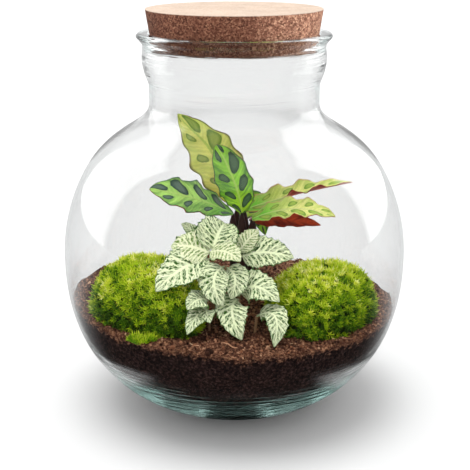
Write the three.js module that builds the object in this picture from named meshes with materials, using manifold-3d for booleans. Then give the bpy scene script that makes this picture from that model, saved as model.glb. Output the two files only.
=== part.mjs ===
// A closed glass terrarium: a globe jar with a short neck and a flared lip, a tapered cork stopper,
// a bed of potting soil, two cushions of moss, a prayer plant with long waved leaves, and a nerve
// plant with white-veined leaves in front of it.
// Millimetres, +Z up. The origin is the centre of the jar's foot, on the surface it stands on.

import * as THREE from "three";
import { mergeVertices } from "three/addons/utils/BufferGeometryUtils.js";
import Module from "manifold-3d";

const wasm = await Module();
wasm.setup();

// Driving dimensions of the jar.
const BODY_RADIUS = 125; // widest outside radius, so the jar is 250 mm across
const BODY_CENTRE_Z = 116.4; // height of the widest ring
const BODY_DROP = 119.9; // half height of the superellipse under the widest ring
const BODY_POWER = 2.305; // how full the lower half is: 2 would be a plain ellipse
const FOOT_INNER_RADIUS = 27; // the jar stands on the ring from here out to the wall
const PUNT_HEIGHT = 4; // how far the middle of the foot is pushed up
const WALL = 2.7;
const INNER_DROP = 110; // the inside is shallower: blown glass is thick at the foot
const INNER_POWER = 2.5;
const INNER_LOWEST_ANGLE = Math.PI / 2 - 0.02; // its lowest ring, which closes on the axis
const NECK_RADIUS = 60.8;
const NECK_LOW_Z = 228;
const NECK_HIGH_Z = 241;
const SHOULDER_ANGLE = THREE.MathUtils.degToRad(31.5); // how far up the globe stays a sphere
const SHOULDER_REACH = 35; // how long the globe's slope carries on into the shoulder
const NECK_REACH = 17; // how long the neck's uprightness carries down into it
const LIP_RADIUS = 69;
const LIP_Z = 273.7;

// Driving dimensions of the cork stopper.
const CORK_TOP_Z = 293;
const CORK_BOTTOM_Z = 267;
const CORK_TOP_RADIUS = 62.3;
const CORK_BOTTOM_RADIUS = 58.2;
const CORK_CHAMFER = 0.8;

const ROUND_SIDES = 40; // facets round the jar, the cork and the soil
const LOWER_POINTS = 8; // outline points of the jar's lower half
const UPPER_STEPS = 4; // outline steps of the sphere above the widest ring
const SHOULDER_STEPS = 6; // outline steps of the shoulder curve
const GAP = 0.3; // clearance between pieces that touch

const COLOURS = {
  glass: 0xdfe9e6,
  cork: 0xb98a66,
  soil: 0x33221c,
  moss: 0x7ea52a,
  waved_leaf: 0x86b83a,
  veined_leaf: 0xdfe8c0,
};

// A closed geometry as a solid that can be joined and cut.
function solidOf(geometry) {
  const bare = geometry.clone();
  bare.deleteAttribute("normal");
  bare.deleteAttribute("uv");
  const merged = mergeVertices(bare, 1e-4);
  return new wasm.Manifold(
    new wasm.Mesh({
      numProp: 3,
      vertProperties: merged.attributes.position.array,
      triVerts: new Uint32Array(merged.index.array),
    }),
  );
}

function geometryOf(solid) {
  const mesh = solid.getMesh();
  const geometry = new THREE.BufferGeometry();
  geometry.setAttribute("position", new THREE.BufferAttribute(mesh.vertProperties, 3));
  geometry.setIndex(new THREE.BufferAttribute(mesh.triVerts, 1));
  return geometry;
}

function piece(name, geometry, colour, roughness, extra = {}) {
  const material = new THREE.MeshStandardMaterial({ color: colour, roughness, metalness: 0, ...extra });
  const mesh = new THREE.Mesh(geometry, material);
  mesh.name = name;
  return mesh;
}

// A profile of [radius, height] points turned round the vertical axis.
function turned(profile) {
  const points = profile.map(([radius, height]) => new THREE.Vector2(radius, height));
  return new THREE.LatheGeometry(points, ROUND_SIDES).rotateX(Math.PI / 2);
}

// Points of a superellipse quarter from the foot up to the widest ring.
function lowerWall(radius, drop, power, lowestAngle) {
  const points = [];
  for (let i = 0; i < LOWER_POINTS; i += 1) {
    const angle = lowestAngle * (1 - i / (LOWER_POINTS - 1));
    const r = radius * Math.cos(angle) ** (2 / power);
    const z = BODY_CENTRE_Z - drop * Math.sin(angle) ** (2 / power);
    points.push([r, z]);
  }
  return points;
}

// Points of the globe from just above the widest ring up to the shoulder.
function upperWall(radius) {
  const points = [];
  for (let i = 1; i <= UPPER_STEPS; i += 1) {
    const angle = (SHOULDER_ANGLE * i) / UPPER_STEPS;
    points.push([radius * Math.cos(angle), BODY_CENTRE_Z + radius * Math.sin(angle)]);
  }
  return points;
}

// The S-shaped curve that takes the globe into the neck.
function shoulder(globeRadius, neckRadius) {
  const [sine, cosine] = [Math.sin(SHOULDER_ANGLE), Math.cos(SHOULDER_ANGLE)];
  const start = new THREE.Vector2(globeRadius * cosine, BODY_CENTRE_Z + globeRadius * sine);
  const curve = new THREE.CubicBezierCurve(
    start,
    new THREE.Vector2(start.x - SHOULDER_REACH * sine, start.y + SHOULDER_REACH * cosine),
    new THREE.Vector2(neckRadius, NECK_LOW_Z - NECK_REACH),
    new THREE.Vector2(neckRadius, NECK_LOW_Z),
  );
  return curve.getPoints(SHOULDER_STEPS).slice(1).map((p) => [p.x, p.y]);
}

// The angle at which the outer wall meets the surface that the jar stands on.
const FOOT_ANGLE = Math.asin((BODY_CENTRE_Z / BODY_DROP) ** (BODY_POWER / 2));

const innerLowerWall = lowerWall(BODY_RADIUS - WALL, INNER_DROP, INNER_POWER, INNER_LOWEST_ANGLE);
innerLowerWall[0][0] = 0;

function jarProfile() {
  const foot = [
    [0, PUNT_HEIGHT],
    [FOOT_INNER_RADIUS * 0.6, PUNT_HEIGHT * 0.75],
    [FOOT_INNER_RADIUS, 0],
  ];
  const outerLower = lowerWall(BODY_RADIUS, BODY_DROP, BODY_POWER, FOOT_ANGLE);
  outerLower[0][1] = 0;
  const outerMouth = [
    [NECK_RADIUS, NECK_HIGH_Z],
    [NECK_RADIUS + 2.9, NECK_HIGH_Z + 8],
    [NECK_RADIUS + 4.6, NECK_HIGH_Z + 17],
    [NECK_RADIUS + 3.9, NECK_HIGH_Z + 26],
    [LIP_RADIUS - 3, LIP_Z - 3.4],
    [LIP_RADIUS - 0.6, LIP_Z - 1.8],
    [LIP_RADIUS, LIP_Z],
    [LIP_RADIUS - 1.2, LIP_Z + 1.9],
    [LIP_RADIUS - 4.5, LIP_Z + 2.9],
    [CORK_BOTTOM_RADIUS + 2.8, LIP_Z + 3],
  ];
  const innerMouth = [
    [CORK_BOTTOM_RADIUS + 1.7, LIP_Z + 1.6],
    [CORK_BOTTOM_RADIUS + 2.3, LIP_Z - 3],
    [NECK_RADIUS + 1.9, NECK_HIGH_Z + 22],
    [NECK_RADIUS + 1.6, NECK_HIGH_Z + 13],
    [NECK_RADIUS - WALL, NECK_HIGH_Z],
  ];
  const innerUp = [
    ...innerLowerWall,
    ...upperWall(BODY_RADIUS - WALL),
    ...shoulder(BODY_RADIUS - WALL, NECK_RADIUS - WALL),
  ];
  return [
    ...foot,
    ...outerLower,
    ...upperWall(BODY_RADIUS),
    ...shoulder(BODY_RADIUS, NECK_RADIUS),
    ...outerMouth,
    ...innerMouth,
    ...innerUp.reverse(),
  ];
}

function corkProfile() {
  return [
    [0, CORK_BOTTOM_Z],
    [CORK_BOTTOM_RADIUS - CORK_CHAMFER, CORK_BOTTOM_Z],
    [CORK_BOTTOM_RADIUS, CORK_BOTTOM_Z + CORK_CHAMFER],
    [CORK_TOP_RADIUS, CORK_TOP_Z - CORK_CHAMFER],
    [CORK_TOP_RADIUS - CORK_CHAMFER, CORK_TOP_Z],
    [0, CORK_TOP_Z],
  ];
}

// The room inside the globe, drawn in from the glass by a clearance.
function roomSolid(clearance) {
  const wall = [...innerLowerWall, ...upperWall(BODY_RADIUS - WALL)];
  const profile = wall.map(([r, z]) => [Math.max(r - clearance, 0), z + clearance]);
  profile.push([0, profile[profile.length - 1][1]]);
  return solidOf(turned(profile));
}

// The bed of soil.
const SOIL_RADIUS = 119; // where its top meets the glass
const SOIL_MIDDLE_Z = 84;
const SOIL_WALL_GAP = 0.4;
const SOIL_LUMP = 0.9; // height of its lumps above and below the slope

// Height of the soil's top: highest at the left, lowest at the back, with shallow lumps.
function soilHeight(x, y) {
  const across = x / SOIL_RADIUS;
  const deep = y / SOIL_RADIUS;
  const slope = -4 * across - 3.7 * deep - across * across - 7 * deep * deep;
  const lumps = Math.sin(x * 0.11 + 1.3) * Math.cos(y * 0.13 - 0.4) + 0.6 * Math.sin(x * 0.23 - y * 0.19);
  return SOIL_MIDDLE_Z + slope + SOIL_LUMP * lumps;
}

// A column with the shaped top, kept to the room inside the glass.
function soilSolid() {
  const rings = [1.05, 0.98, 0.84, 0.68, 0.52, 0.35, 0.17, 0];
  const lid = rings.map((share) => [SOIL_RADIUS * share, SOIL_MIDDLE_Z]);
  const geometry = turned([[0, 0], [SOIL_RADIUS * rings[0], 0], ...lid]);
  const position = geometry.attributes.position;
  for (let i = 0; i < position.count; i += 1) {
    const onTop = position.getZ(i) > SOIL_MIDDLE_Z / 2;
    if (onTop) position.setZ(i, soilHeight(position.getX(i), position.getY(i)));
  }
  return solidOf(geometry).intersect(roomSolid(SOIL_WALL_GAP));
}

// A thin leaf: rows of points along the midrib, upper and lower faces split into the same triangles.
// surface(along, across) gives { point, up } with along from 0 to 1 and across from -1 to 1.
function thinSolid(surface, rows, columns, thickness) {
  const vertices = [];
  const lift = new THREE.Vector3();
  for (const side of [1, -1]) {
    for (let i = 0; i <= rows; i += 1) {
      for (let j = 0; j <= columns; j += 1) {
        const { point, up } = surface(i / rows, (2 * j) / columns - 1);
        lift.copy(up).multiplyScalar((side * thickness) / 2);
        vertices.push(...point.clone().add(lift).toArray());
      }
    }
  }
  const width = columns + 1;
  const layer = (rows + 1) * width;
  const faces = [];
  const quad = (a, b, c, d) => faces.push(a, b, c, a, c, d);
  for (let i = 0; i < rows; i += 1) {
    for (let j = 0; j < columns; j += 1) {
      const a = i * width + j;
      const corners = [a, a + 1, a + width + 1, a + width];
      quad(...corners);
      const [p, q, r, s] = corners.map((v) => v + layer);
      faces.push(p, r, q, p, s, r);
    }
  }
  const border = [];
  for (let j = 0; j < columns; j += 1) border.push(j);
  for (let i = 0; i < rows; i += 1) border.push(i * width + columns);
  for (let j = columns; j > 0; j -= 1) border.push(rows * width + j);
  for (let i = rows; i > 0; i -= 1) border.push(i * width);
  border.forEach((a, k) => {
    const b = border[(k + 1) % border.length];
    quad(b, a, a + layer, b + layer);
  });
  const geometry = new THREE.BufferGeometry();
  geometry.setAttribute("position", new THREE.Float32BufferAttribute(vertices, 3));
  geometry.setIndex(faces);
  return solidOf(geometry);
}

const vector = ([x, y, z]) => new THREE.Vector3(x, y, z);

// The curve of a midrib through a base, a middle and a tip.
function midribOf(leaf) {
  const [base, middle, tip] = [leaf.base, leaf.middle, leaf.tip].map(vector);
  const control = middle.clone().multiplyScalar(2).sub(base.clone().add(tip).multiplyScalar(0.5));
  return new THREE.QuadraticBezierCurve3(base, control, tip);
}

// A blade round its midrib. It starts as bare stalk; outline gives its half width from there on as
// a share of the leaf's own. It rises towards its edges by fold and waves up and down along them.
function bladeSolid(leaf, kind) {
  const midrib = midribOf(leaf);
  const faces = vector(leaf.faces).normalize();
  const surface = (along, across) => {
    const ahead = midrib.getTangent(along);
    const side = new THREE.Vector3().crossVectors(ahead, faces).normalize();
    const up = new THREE.Vector3().crossVectors(side, ahead).normalize();
    const blade = Math.max(along - kind.bare, 0) / (1 - kind.bare);
    const half = (leaf.width / 2) * kind.outline(blade) + kind.stalk / 2;
    const edge = Math.abs(across);
    const phase = 2 * Math.PI * kind.waves * blade + (across < 0 ? kind.shift : 0) + (leaf.phase ?? 0);
    const fade = Math.sin(Math.PI * blade);
    const fold = leaf.fold ?? kind.fold;
    const rise = fold * edge * half + kind.wave * fade * edge * edge * Math.sin(phase);
    const point = midrib.getPoint(along);
    point.addScaledVector(side, across * half * (1 + kind.scallop * fade * edge * Math.cos(phase)));
    point.addScaledVector(up, rise);
    return { point, up };
  };
  return thinSolid(surface, kind.rows, kind.columns, kind.thickness);
}

// A round stalk along a smooth curve through points.
function stalkSolid(points, radius, steps) {
  const section = new THREE.Shape().absarc(0, 0, radius, 0, 2 * Math.PI);
  const path = new THREE.CatmullRomCurve3(points.map(vector), false, "centripetal");
  const geometry = new THREE.ExtrudeGeometry(section, {
    steps,
    curveSegments: 3,
    bevelEnabled: false,
    extrudePath: path,
  });
  return solidOf(geometry);
}

const STALK_DEPTH = 12; // how far a stalk goes down into the soil
const STALK_UPRIGHT = 1.5; // how far it stands straight above the soil before it may lean
const HOLE_ABOVE = 10; // how far a hole's cutter reaches above the soil
const HOLE_CLEARANCE = 0.45;
const HOLE_SIDES = 8;

// The first points of a stalk: straight up out of its hole.
function rootPoints([x, y]) {
  const top = soilHeight(x, y);
  return [
    [x, y, top - STALK_DEPTH],
    [x, y, top - STALK_DEPTH / 2],
    [x, y, top + STALK_UPRIGHT],
  ];
}

function holeSolid([x, y], stalkRadius) {
  const top = soilHeight(x, y);
  const radius = (stalkRadius + HOLE_CLEARANCE) / Math.cos(Math.PI / HOLE_SIDES);
  const length = STALK_DEPTH + GAP + HOLE_ABOVE;
  const geometry = new THREE.CylinderGeometry(radius, radius, length, HOLE_SIDES);
  geometry.rotateX(Math.PI / 2);
  geometry.translate(x, y, top - STALK_DEPTH - GAP + length / 2);
  return solidOf(geometry);
}

// The prayer plant: long leaves with waved edges, each on its own stalk from the soil.
const WAVED = {
  rows: 16,
  columns: 4,
  thickness: 0.8,
  stalk: 2.4,
  bare: 0,
  waves: 4.2,
  shift: 2.1,
  wave: 2.2,
  fold: 0.12,
  scallop: 0.05,
  outline: (blade) => Math.sin(Math.PI * blade ** 0.9) ** 0.75,
};
const WAVED_STALK_RADIUS = 1.8;
const WAVED_STALK_STEPS = 12;
const WAVED_STALK_BEND = 28; // how far under the blade its stalk starts to lean over
const WAVED_STALK_END = 0.06; // share of the midrib that the stalk runs along inside the blade
const wavedLeaves = [
  { name: "waved_leaf_tall_back", root: [0, 6], width: 30,
    base: [2, 5, 147], middle: [-16, 9, 184], tip: [-40.5, 12, 216], faces: [-0.25, -1, 0.3] },
  { name: "waved_leaf_tall_front", root: [6, -8], width: 22,
    base: [5.5, -8, 147], middle: [0.5, -14, 170], tip: [-13, -15, 197.5], faces: [-0.1, -1, 0.25] },
  { name: "waved_leaf_left", root: [-1, -3], width: 22, phase: 0.8,
    base: [-1, -7, 146], middle: [-29, -20, 161], tip: [-59.5, -31, 170.5], faces: [0.15, -0.7, 0.7] },
  { name: "waved_leaf_right_upper", root: [8, 4], width: 21, phase: 1.6, fold: 0.4,
    base: [7.5, 4, 146], middle: [43, 13, 157], tip: [89, 22, 162], faces: [-0.1, -0.25, 0.95] },
  { name: "waved_leaf_right_middle", root: [12, -5], width: 19, phase: 0.4,
    base: [13, -7, 142], middle: [41, -16, 152], tip: [71, -20, 151], faces: [-0.05, -0.55, 0.8] },
  { name: "waved_leaf_right_lower", root: [14, 2], width: 19, phase: 2.4,
    base: [14, 3, 137], middle: [38, 7, 138], tip: [65, 11, 130], faces: [0.1, 0.85, 0.5] },
  { name: "waved_leaf_behind", root: [6, 11], width: 22, phase: 1.1,
    base: [8, 14, 136], middle: [17, 40, 138], tip: [25, 62, 109], faces: [0.1, 0.6, 0.8] },
];

function wavedLeafSolid(leaf) {
  const midrib = midribOf(leaf);
  const inBlade = midrib.getPoint(WAVED_STALK_END).toArray();
  const [x, y, z] = leaf.base;
  const under = [(leaf.root[0] + x) / 2, (leaf.root[1] + y) / 2, z - WAVED_STALK_BEND];
  const path = [...rootPoints(leaf.root), under, leaf.base, inBlade];
  const stalk = stalkSolid(path, WAVED_STALK_RADIUS, WAVED_STALK_STEPS);
  return stalk.add(bladeSolid(leaf, WAVED));
}

// The nerve plant: short leafy stems, each with its leaves in pairs.
const VEINED = {
  rows: 7,
  columns: 4,
  thickness: 0.8,
  stalk: 1.4,
  bare: 0.12,
  waves: 2.6,
  shift: 1.4,
  wave: 0.7,
  fold: 0.1,
  scallop: 0.03,
  outline: (blade) => 2.67 * blade ** 0.55 * (1 - blade) ** 0.92,
};
const VEINED_STALK_RADIUS = 1.1;
const VEINED_STALK_STEPS = 8;
const veinedStems = [
  { name: "veined_stem_top_left", root: [-13, -58], crown: [-15, -60, 133], leaves: [
    { base: [-15, -59.5, 133], middle: [-11, -55, 146], tip: [-7, -43, 150], width: 30,
      faces: [-0.05, -0.85, 0.5], fold: 0.5 },
    { base: [-15.5, -60, 132], middle: [-29, -59, 137], tip: [-43, -55, 136], width: 22,
      faces: [-0.1, -0.6, 0.8] },
    { base: [-15.5, -60.5, 129], middle: [-34, -74, 127], tip: [-52, -86, 113], width: 26,
      faces: [-0.15, -0.6, 0.8] },
    { base: [-15, -60.5, 132], middle: [-6, -70, 137], tip: [4, -79, 133], width: 15,
      faces: [0.1, -0.6, 0.8] },
  ] },
  { name: "veined_stem_top_right", root: [3, -50], crown: [3, -54, 131], leaves: [
    { base: [3, -54, 131], middle: [9, -51, 139], tip: [16, -46, 145], width: 14,
      faces: [-0.4, -0.8, 0.5] },
    { base: [3.5, -54.5, 128], middle: [21, -59, 133], tip: [40, -62, 130], width: 23,
      faces: [0.05, -0.65, 0.75] },
    { base: [3.5, -53.5, 129], middle: [15, -42, 136], tip: [28, -32, 131], width: 22,
      faces: [0.3, 0.4, 0.9] },
  ] },
  { name: "veined_stem_middle", root: [-5, -66], crown: [-6, -70, 127], leaves: [
    { base: [-6.5, -70.5, 127], middle: [-10.5, -83, 120], tip: [-7, -90, 105], width: 17,
      faces: [-0.2, -0.85, 0.5] },
    { base: [-5.5, -70, 126], middle: [0.5, -79, 121], tip: [-3, -84, 106], width: 17,
      faces: [0.2, -0.9, 0.45] },
  ] },
  { name: "veined_stem_low_right", root: [4, -70], crown: [3, -72, 106], leaves: [
    { base: [3, -72, 106], middle: [16, -78, 116], tip: [31, -86, 107], width: 21,
      faces: [0.1, -0.7, 0.7] },
    { base: [3, -72.5, 104], middle: [-1.5, -87, 101], tip: [5, -98, 84], width: 19,
      faces: [-0.05, -0.85, 0.5] },
  ] },
  { name: "veined_stem_front_right", root: [14, -80], crown: [15, -81, 95], leaves: [
    { base: [15, -81, 95], middle: [27, -92, 99], tip: [26, -104, 81.5], width: 16,
      faces: [0.3, -0.65, 0.7] },
  ] },
  { name: "veined_stem_low_left", root: [-17, -76], crown: [-18, -79, 105], leaves: [
    { base: [-18, -79.5, 105], middle: [-24, -87, 109], tip: [-31, -95, 105], width: 14,
      faces: [-0.1, -0.7, 0.7] },
    { base: [-18, -80, 101], middle: [-24, -90, 100], tip: [-31, -101, 90], width: 12,
      faces: [-0.3, -0.9, 0.4] },
    { base: [-18, -79.5, 99], middle: [-18.5, -88, 101], tip: [-16, -96, 96], width: 11,
      faces: [0.1, -0.8, 0.6] },
  ] },
  { name: "veined_stem_back", root: [-15, -40], crown: [-21, -42, 135], leaves: [
    { base: [-21, -42, 135], middle: [-29, -41, 143], tip: [-37, -40, 148], width: 14,
      faces: [-0.5, 0.2, 0.8] },
    { base: [-20.5, -42, 131], middle: [-30, -30, 136], tip: [-42, -20, 130], width: 22,
      faces: [-0.3, 0.3, 0.9] },
    { base: [-20, -41.5, 128], middle: [-13, -29, 134], tip: [-8, -18, 129], width: 20,
      faces: [0.1, 0.4, 0.9] },
  ] },
];

function veinedStemSolid(stem) {
  const [x, y, z] = stem.crown;
  const half = [(stem.root[0] + x) / 2, (stem.root[1] + y) / 2, (soilHeight(...stem.root) + z) / 2];
  const path = [...rootPoints(stem.root), half, stem.crown];
  let solid = stalkSolid(path, VEINED_STALK_RADIUS, VEINED_STALK_STEPS);
  for (const leaf of stem.leaves) solid = solid.add(bladeSolid(leaf, VEINED));
  return solid;
}

// The moss cushions: domes covered all over with short tufts.
const MOSS_RINGS = 14;
const MOSS_SUNK = 10; // how far a cushion's edge goes below the soil before it is cut off there
const TUFT = 3.2; // how far the tallest tufts stand out
const HOLLOW = 0.6; // how far the net sinks between them
const LOBE = 0.05; // how far a cushion's outline leaves its oval, as a share
const FLANK_POWER = 0.85; // below 1 a cushion's flank is steeper than an ellipsoid's
const CROWN_POWER = 0.8; // below 1 its crown is flatter
const mossCushions = [
  { name: "moss_cushion_left", centre: [-60, -52], radial: 33, tangential: 45, height: 37 },
  { name: "moss_cushion_right", centre: [61, -45], radial: 34, tangential: 45, height: 34 },
];

// A six-sided net of triangles: ring k has 6k points, and the tufts stand on every third point,
// so that no two of them are neighbours.
function tuftedNet(rings) {
  const corners = [[1, 0], [0, 1], [-1, 1], [-1, 0], [0, -1], [1, -1]];
  const points = [{ reach: 0, turn: 0, tufted: true }];
  const faces = [];
  const first = [0];
  for (let k = 1; k <= rings; k += 1) {
    first.push(points.length);
    for (let step = 0; step < 6 * k; step += 1) {
      const [q, r] = corners[Math.floor(step / k)];
      const [nextQ, nextR] = corners[(Math.floor(step / k) + 1) % 6];
      const along = step % k;
      const column = q * (k - along) + nextQ * along;
      const row = r * (k - along) + nextR * along;
      const tufted = (column - row + 3 * rings) % 3 === 0;
      points.push({ reach: k / rings, turn: (2 * Math.PI * step) / (6 * k), tufted });
    }
  }
  const at = (k, step) => (k === 0 ? 0 : first[k] + (step % (6 * k)));
  for (let k = 1; k <= rings; k += 1) {
    for (let side = 0; side < 6; side += 1) {
      for (let along = 0; along < k; along += 1) {
        const outer = side * k + along;
        const inner = side * (k - 1) + along;
        faces.push(at(k, outer), at(k, outer + 1), at(k - 1, inner));
        if (along < k - 1) faces.push(at(k, outer + 1), at(k - 1, inner + 1), at(k - 1, inner));
      }
    }
  }
  return { points, faces, first };
}

// A dome over an oval footprint that is longest along the glass, cut off by the soil and the glass.
function mossSolid(cushion, room, soilLifted) {
  const [cx, cy] = cushion.centre;
  const outward = new THREE.Vector2(cx, cy).normalize();
  const floor = soilHeight(cx, cy) - MOSS_SUNK;
  const { points, faces, first } = tuftedNet(MOSS_RINGS);
  const vertices = points.flatMap(({ reach, turn, tufted }, i) => {
    const angle = (Math.PI / 2) * reach;
    const uneven = 0.75 + 0.25 * Math.sin(i * 2.4);
    const standing = 1 + (tufted ? TUFT * uneven : -HOLLOW) / cushion.tangential;
    const lobe = 1 + LOBE * Math.sin(3 * turn + cx);
    const share = Math.sin(angle) ** FLANK_POWER * lobe * standing;
    const a = Math.cos(turn) * share * cushion.radial;
    const b = Math.sin(turn) * share * cushion.tangential;
    const rise = Math.max(Math.cos(angle), 0) ** CROWN_POWER * standing;
    const z = floor + rise * (cushion.height + MOSS_SUNK);
    return [cx + a * outward.x - b * outward.y, cy + a * outward.y + b * outward.x, z];
  });
  const bottom = vertices.length / 3;
  vertices.push(cx, cy, floor);
  const edge = first[MOSS_RINGS];
  const edgeCount = 6 * MOSS_RINGS;
  for (let i = 0; i < edgeCount; i += 1) faces.push(edge + ((i + 1) % edgeCount), edge + i, bottom);
  const geometry = new THREE.BufferGeometry();
  geometry.setAttribute("position", new THREE.Float32BufferAttribute(vertices, 3));
  geometry.setIndex(faces);
  return solidOf(geometry).intersect(room).subtract(soilLifted);
}

const terrarium = new THREE.Group();

const jar = turned(jarProfile());
terrarium.add(
  piece("glass_jar", jar, COLOURS.glass, 0.03, { transparent: true, opacity: 0.3 }),
);
terrarium.add(piece("cork_stopper", turned(corkProfile()), COLOURS.cork, 0.9));

const wholeSoil = soilSolid();
let drilledSoil = wholeSoil;
for (const leaf of wavedLeaves) {
  drilledSoil = drilledSoil.subtract(holeSolid(leaf.root, WAVED_STALK_RADIUS));
}
for (const stem of veinedStems) {
  drilledSoil = drilledSoil.subtract(holeSolid(stem.root, VEINED_STALK_RADIUS));
}
terrarium.add(piece("soil_bed", geometryOf(drilledSoil), COLOURS.soil, 1));

const room = roomSolid(2 * GAP);
const soilLifted = wholeSoil.translate([0, 0, GAP]);
for (const cushion of mossCushions) {
  const solid = mossSolid(cushion, room, soilLifted);
  terrarium.add(piece(cushion.name, geometryOf(solid), COLOURS.moss, 1));
}
for (const leaf of wavedLeaves) {
  terrarium.add(piece(leaf.name, geometryOf(wavedLeafSolid(leaf)), COLOURS.waved_leaf, 0.5));
}
for (const stem of veinedStems) {
  terrarium.add(piece(stem.name, geometryOf(veinedStemSolid(stem)), COLOURS.veined_leaf, 0.6));
}

export default terrarium;
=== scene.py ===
# %% [markdown]
# # A closed glass terrarium
#
# A globe jar of clear glass with a cork in its mouth. Inside are a bed of potting soil, two moss
# cushions, a prayer plant with long waved leaves, and a nerve plant with white veins.
#
# The sizes come from the CAD frame: each piece made here stands for one of its nodes, and keeps that
# node's place and form. All lengths are in metres, with +Z up and the viewer on the -Y side.

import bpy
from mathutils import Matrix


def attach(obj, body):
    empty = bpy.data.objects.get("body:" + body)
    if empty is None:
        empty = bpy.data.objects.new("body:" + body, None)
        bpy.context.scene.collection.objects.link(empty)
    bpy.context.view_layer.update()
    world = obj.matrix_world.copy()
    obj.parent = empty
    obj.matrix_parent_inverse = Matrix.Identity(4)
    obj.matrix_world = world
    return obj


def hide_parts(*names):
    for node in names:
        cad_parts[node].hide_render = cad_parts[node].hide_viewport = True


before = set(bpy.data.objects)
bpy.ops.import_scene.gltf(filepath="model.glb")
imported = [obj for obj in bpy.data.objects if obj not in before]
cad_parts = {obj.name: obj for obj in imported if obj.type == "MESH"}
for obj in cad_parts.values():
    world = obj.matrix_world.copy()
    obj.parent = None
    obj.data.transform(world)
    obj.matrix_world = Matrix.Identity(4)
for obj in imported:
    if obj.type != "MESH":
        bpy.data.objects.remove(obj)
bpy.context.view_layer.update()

# %% Modules
import math
import random

import bmesh
import bpy
import numpy as np
from mathutils import Matrix, Vector, noise
from mathutils.geometry import interpolate_bezier

# %% [markdown]
# ## Small helpers
#
# Every piece ends the same way: its bmesh becomes a mesh, the mesh gets its materials, and the object
# rides on the jar's only body. So one function does that. Objects stay at the origin, unturned and
# unscaled, and their place is in their vertices. A pattern on Object coordinates then stays put.


# %% Pieces
def add_object(name, data):
    """A new object at the origin for a mesh, a camera or a light."""
    thing = bpy.data.objects.new(name, data)
    bpy.context.scene.collection.objects.link(thing)
    return thing


def mesh_from(name, bm, materials=()):
    """Turns a bmesh into a mesh with its materials, and frees the bmesh."""
    mesh = bpy.data.meshes.new(name)
    bm.to_mesh(mesh)
    bm.free()
    for material in materials:
        mesh.materials.append(material)
    return mesh


def add_piece(name, bm, materials, nodes=(), smooth=True):
    """Turns a bmesh into a piece on the body "root" that stands for the given CAD nodes."""
    mesh = mesh_from(name, bm, materials)
    mesh.polygons.foreach_set("use_smooth", [smooth] * len(mesh.polygons))
    piece = add_object(name, mesh)
    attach(piece, "root")
    if nodes:
        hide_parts(*nodes)
    triangles = sum(len(face.vertices) - 2 for face in mesh.polygons)
    print(f"{name}: {triangles} triangles, stands for {', '.join(nodes) or 'nothing in CAD'}")


# %% [markdown]
# ## Shader helpers
#
# Shader graphs are long to write out. `add_node` makes a node, sets it up and links it in one call,
# and the small functions after it name the steps that come back in every material.


# %% Colours and nodes
def screen_colour(red, green, blue):
    """A colour as it looks on screen, 0 to 255, as the linear colour that shaders work in."""
    shares = [part / 255 for part in (red, green, blue)]
    return tuple(((s + 0.055) / 1.055) ** 2.4 if s > 0.04 else s / 12.92 for s in shares) + (1,)


def add_node(tree, kind, inputs=None, **settings):
    """A new node. inputs maps a socket's name or number to a value, or to the socket that feeds it."""
    node = tree.nodes.new(kind)
    for name, value in settings.items():
        setattr(node, name, value)
    for name, value in (inputs or {}).items():
        if isinstance(value, bpy.types.NodeSocket):
            tree.links.new(value, node.inputs[name])
        else:
            node.inputs[name].default_value = value
    return node


def calculate(tree, operation, *values):
    """One step of arithmetic on numbers and sockets."""
    return add_node(tree, "ShaderNodeMath", dict(enumerate(values)), operation=operation).outputs[0]


def mix_colours(tree, share, first, second, blend="MIX"):
    """The first colour with a share of the second mixed in, or blended in another way."""
    sockets = {0: share, 6: first, 7: second}
    return add_node(tree, "ShaderNodeMix", sockets, data_type="RGBA", blend_type=blend).outputs[2]


# %% Masks and ramps
def step_between(tree, value, low, high):
    """0 below low, 1 above high and smooth between. With low above high it falls instead of rising."""
    sockets = {"Value": value, "From Min": low, "From Max": high}
    return add_node(tree, "ShaderNodeMapRange", sockets, interpolation_type="SMOOTHSTEP").outputs["Result"]


def colour_ramp(tree, share, stops):
    """A colour picked along stops of (position, colour)."""
    ramp = add_node(tree, "ShaderNodeValToRGB", {"Fac": share})
    elements = ramp.color_ramp.elements
    while len(elements) < len(stops):
        elements.new(1)
    for element, (position, colour) in zip(elements, stops):
        element.position = position
        element.color = colour
    return ramp.outputs["Color"]


# %% Places and noise
def object_place(tree):
    """Object coordinates, which stay where they are on a piece."""
    return add_node(tree, "ShaderNodeTexCoord").outputs["Object"]


def axes_of(tree, place):
    """The outputs X, Y and Z of a place."""
    return add_node(tree, "ShaderNodeSeparateXYZ", {"Vector": place}).outputs


def read_attribute(tree, name):
    """A number that each point of the mesh keeps for its material."""
    return add_node(tree, "ShaderNodeAttribute", attribute_name=name).outputs["Fac"]


def noise_at(tree, place, scale, detail, roughness=0.5):
    """Soft noise from 0 to 1. A larger scale makes smaller spots."""
    sockets = {"Vector": place, "Scale": scale, "Detail": detail, "Roughness": roughness}
    return add_node(tree, "ShaderNodeTexNoise", sockets).outputs["Fac"]


# %% Materials and groups
def new_material(name, roughness, specular=0.5):
    """A material, its node tree and its Principled shader."""
    material = bpy.data.materials.new(name)
    material.use_nodes = True
    shader = material.node_tree.nodes["Principled BSDF"]
    shader.inputs["Roughness"].default_value = roughness
    shader.inputs["Specular IOR Level"].default_value = specular
    return material, material.node_tree, shader


def new_group(name, inputs, outputs):
    """A shader group with its input node and output node. Both lists hold (name, kind, start value)."""
    group = bpy.data.node_groups.new(name, "ShaderNodeTree")
    for label, kind, start in inputs:
        group.interface.new_socket(label, in_out="INPUT", socket_type=kind).default_value = start
    for label, kind in outputs:
        group.interface.new_socket(label, in_out="OUTPUT", socket_type=kind)
    return group, group.nodes.new("NodeGroupInput").outputs, group.nodes.new("NodeGroupOutput").inputs


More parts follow.
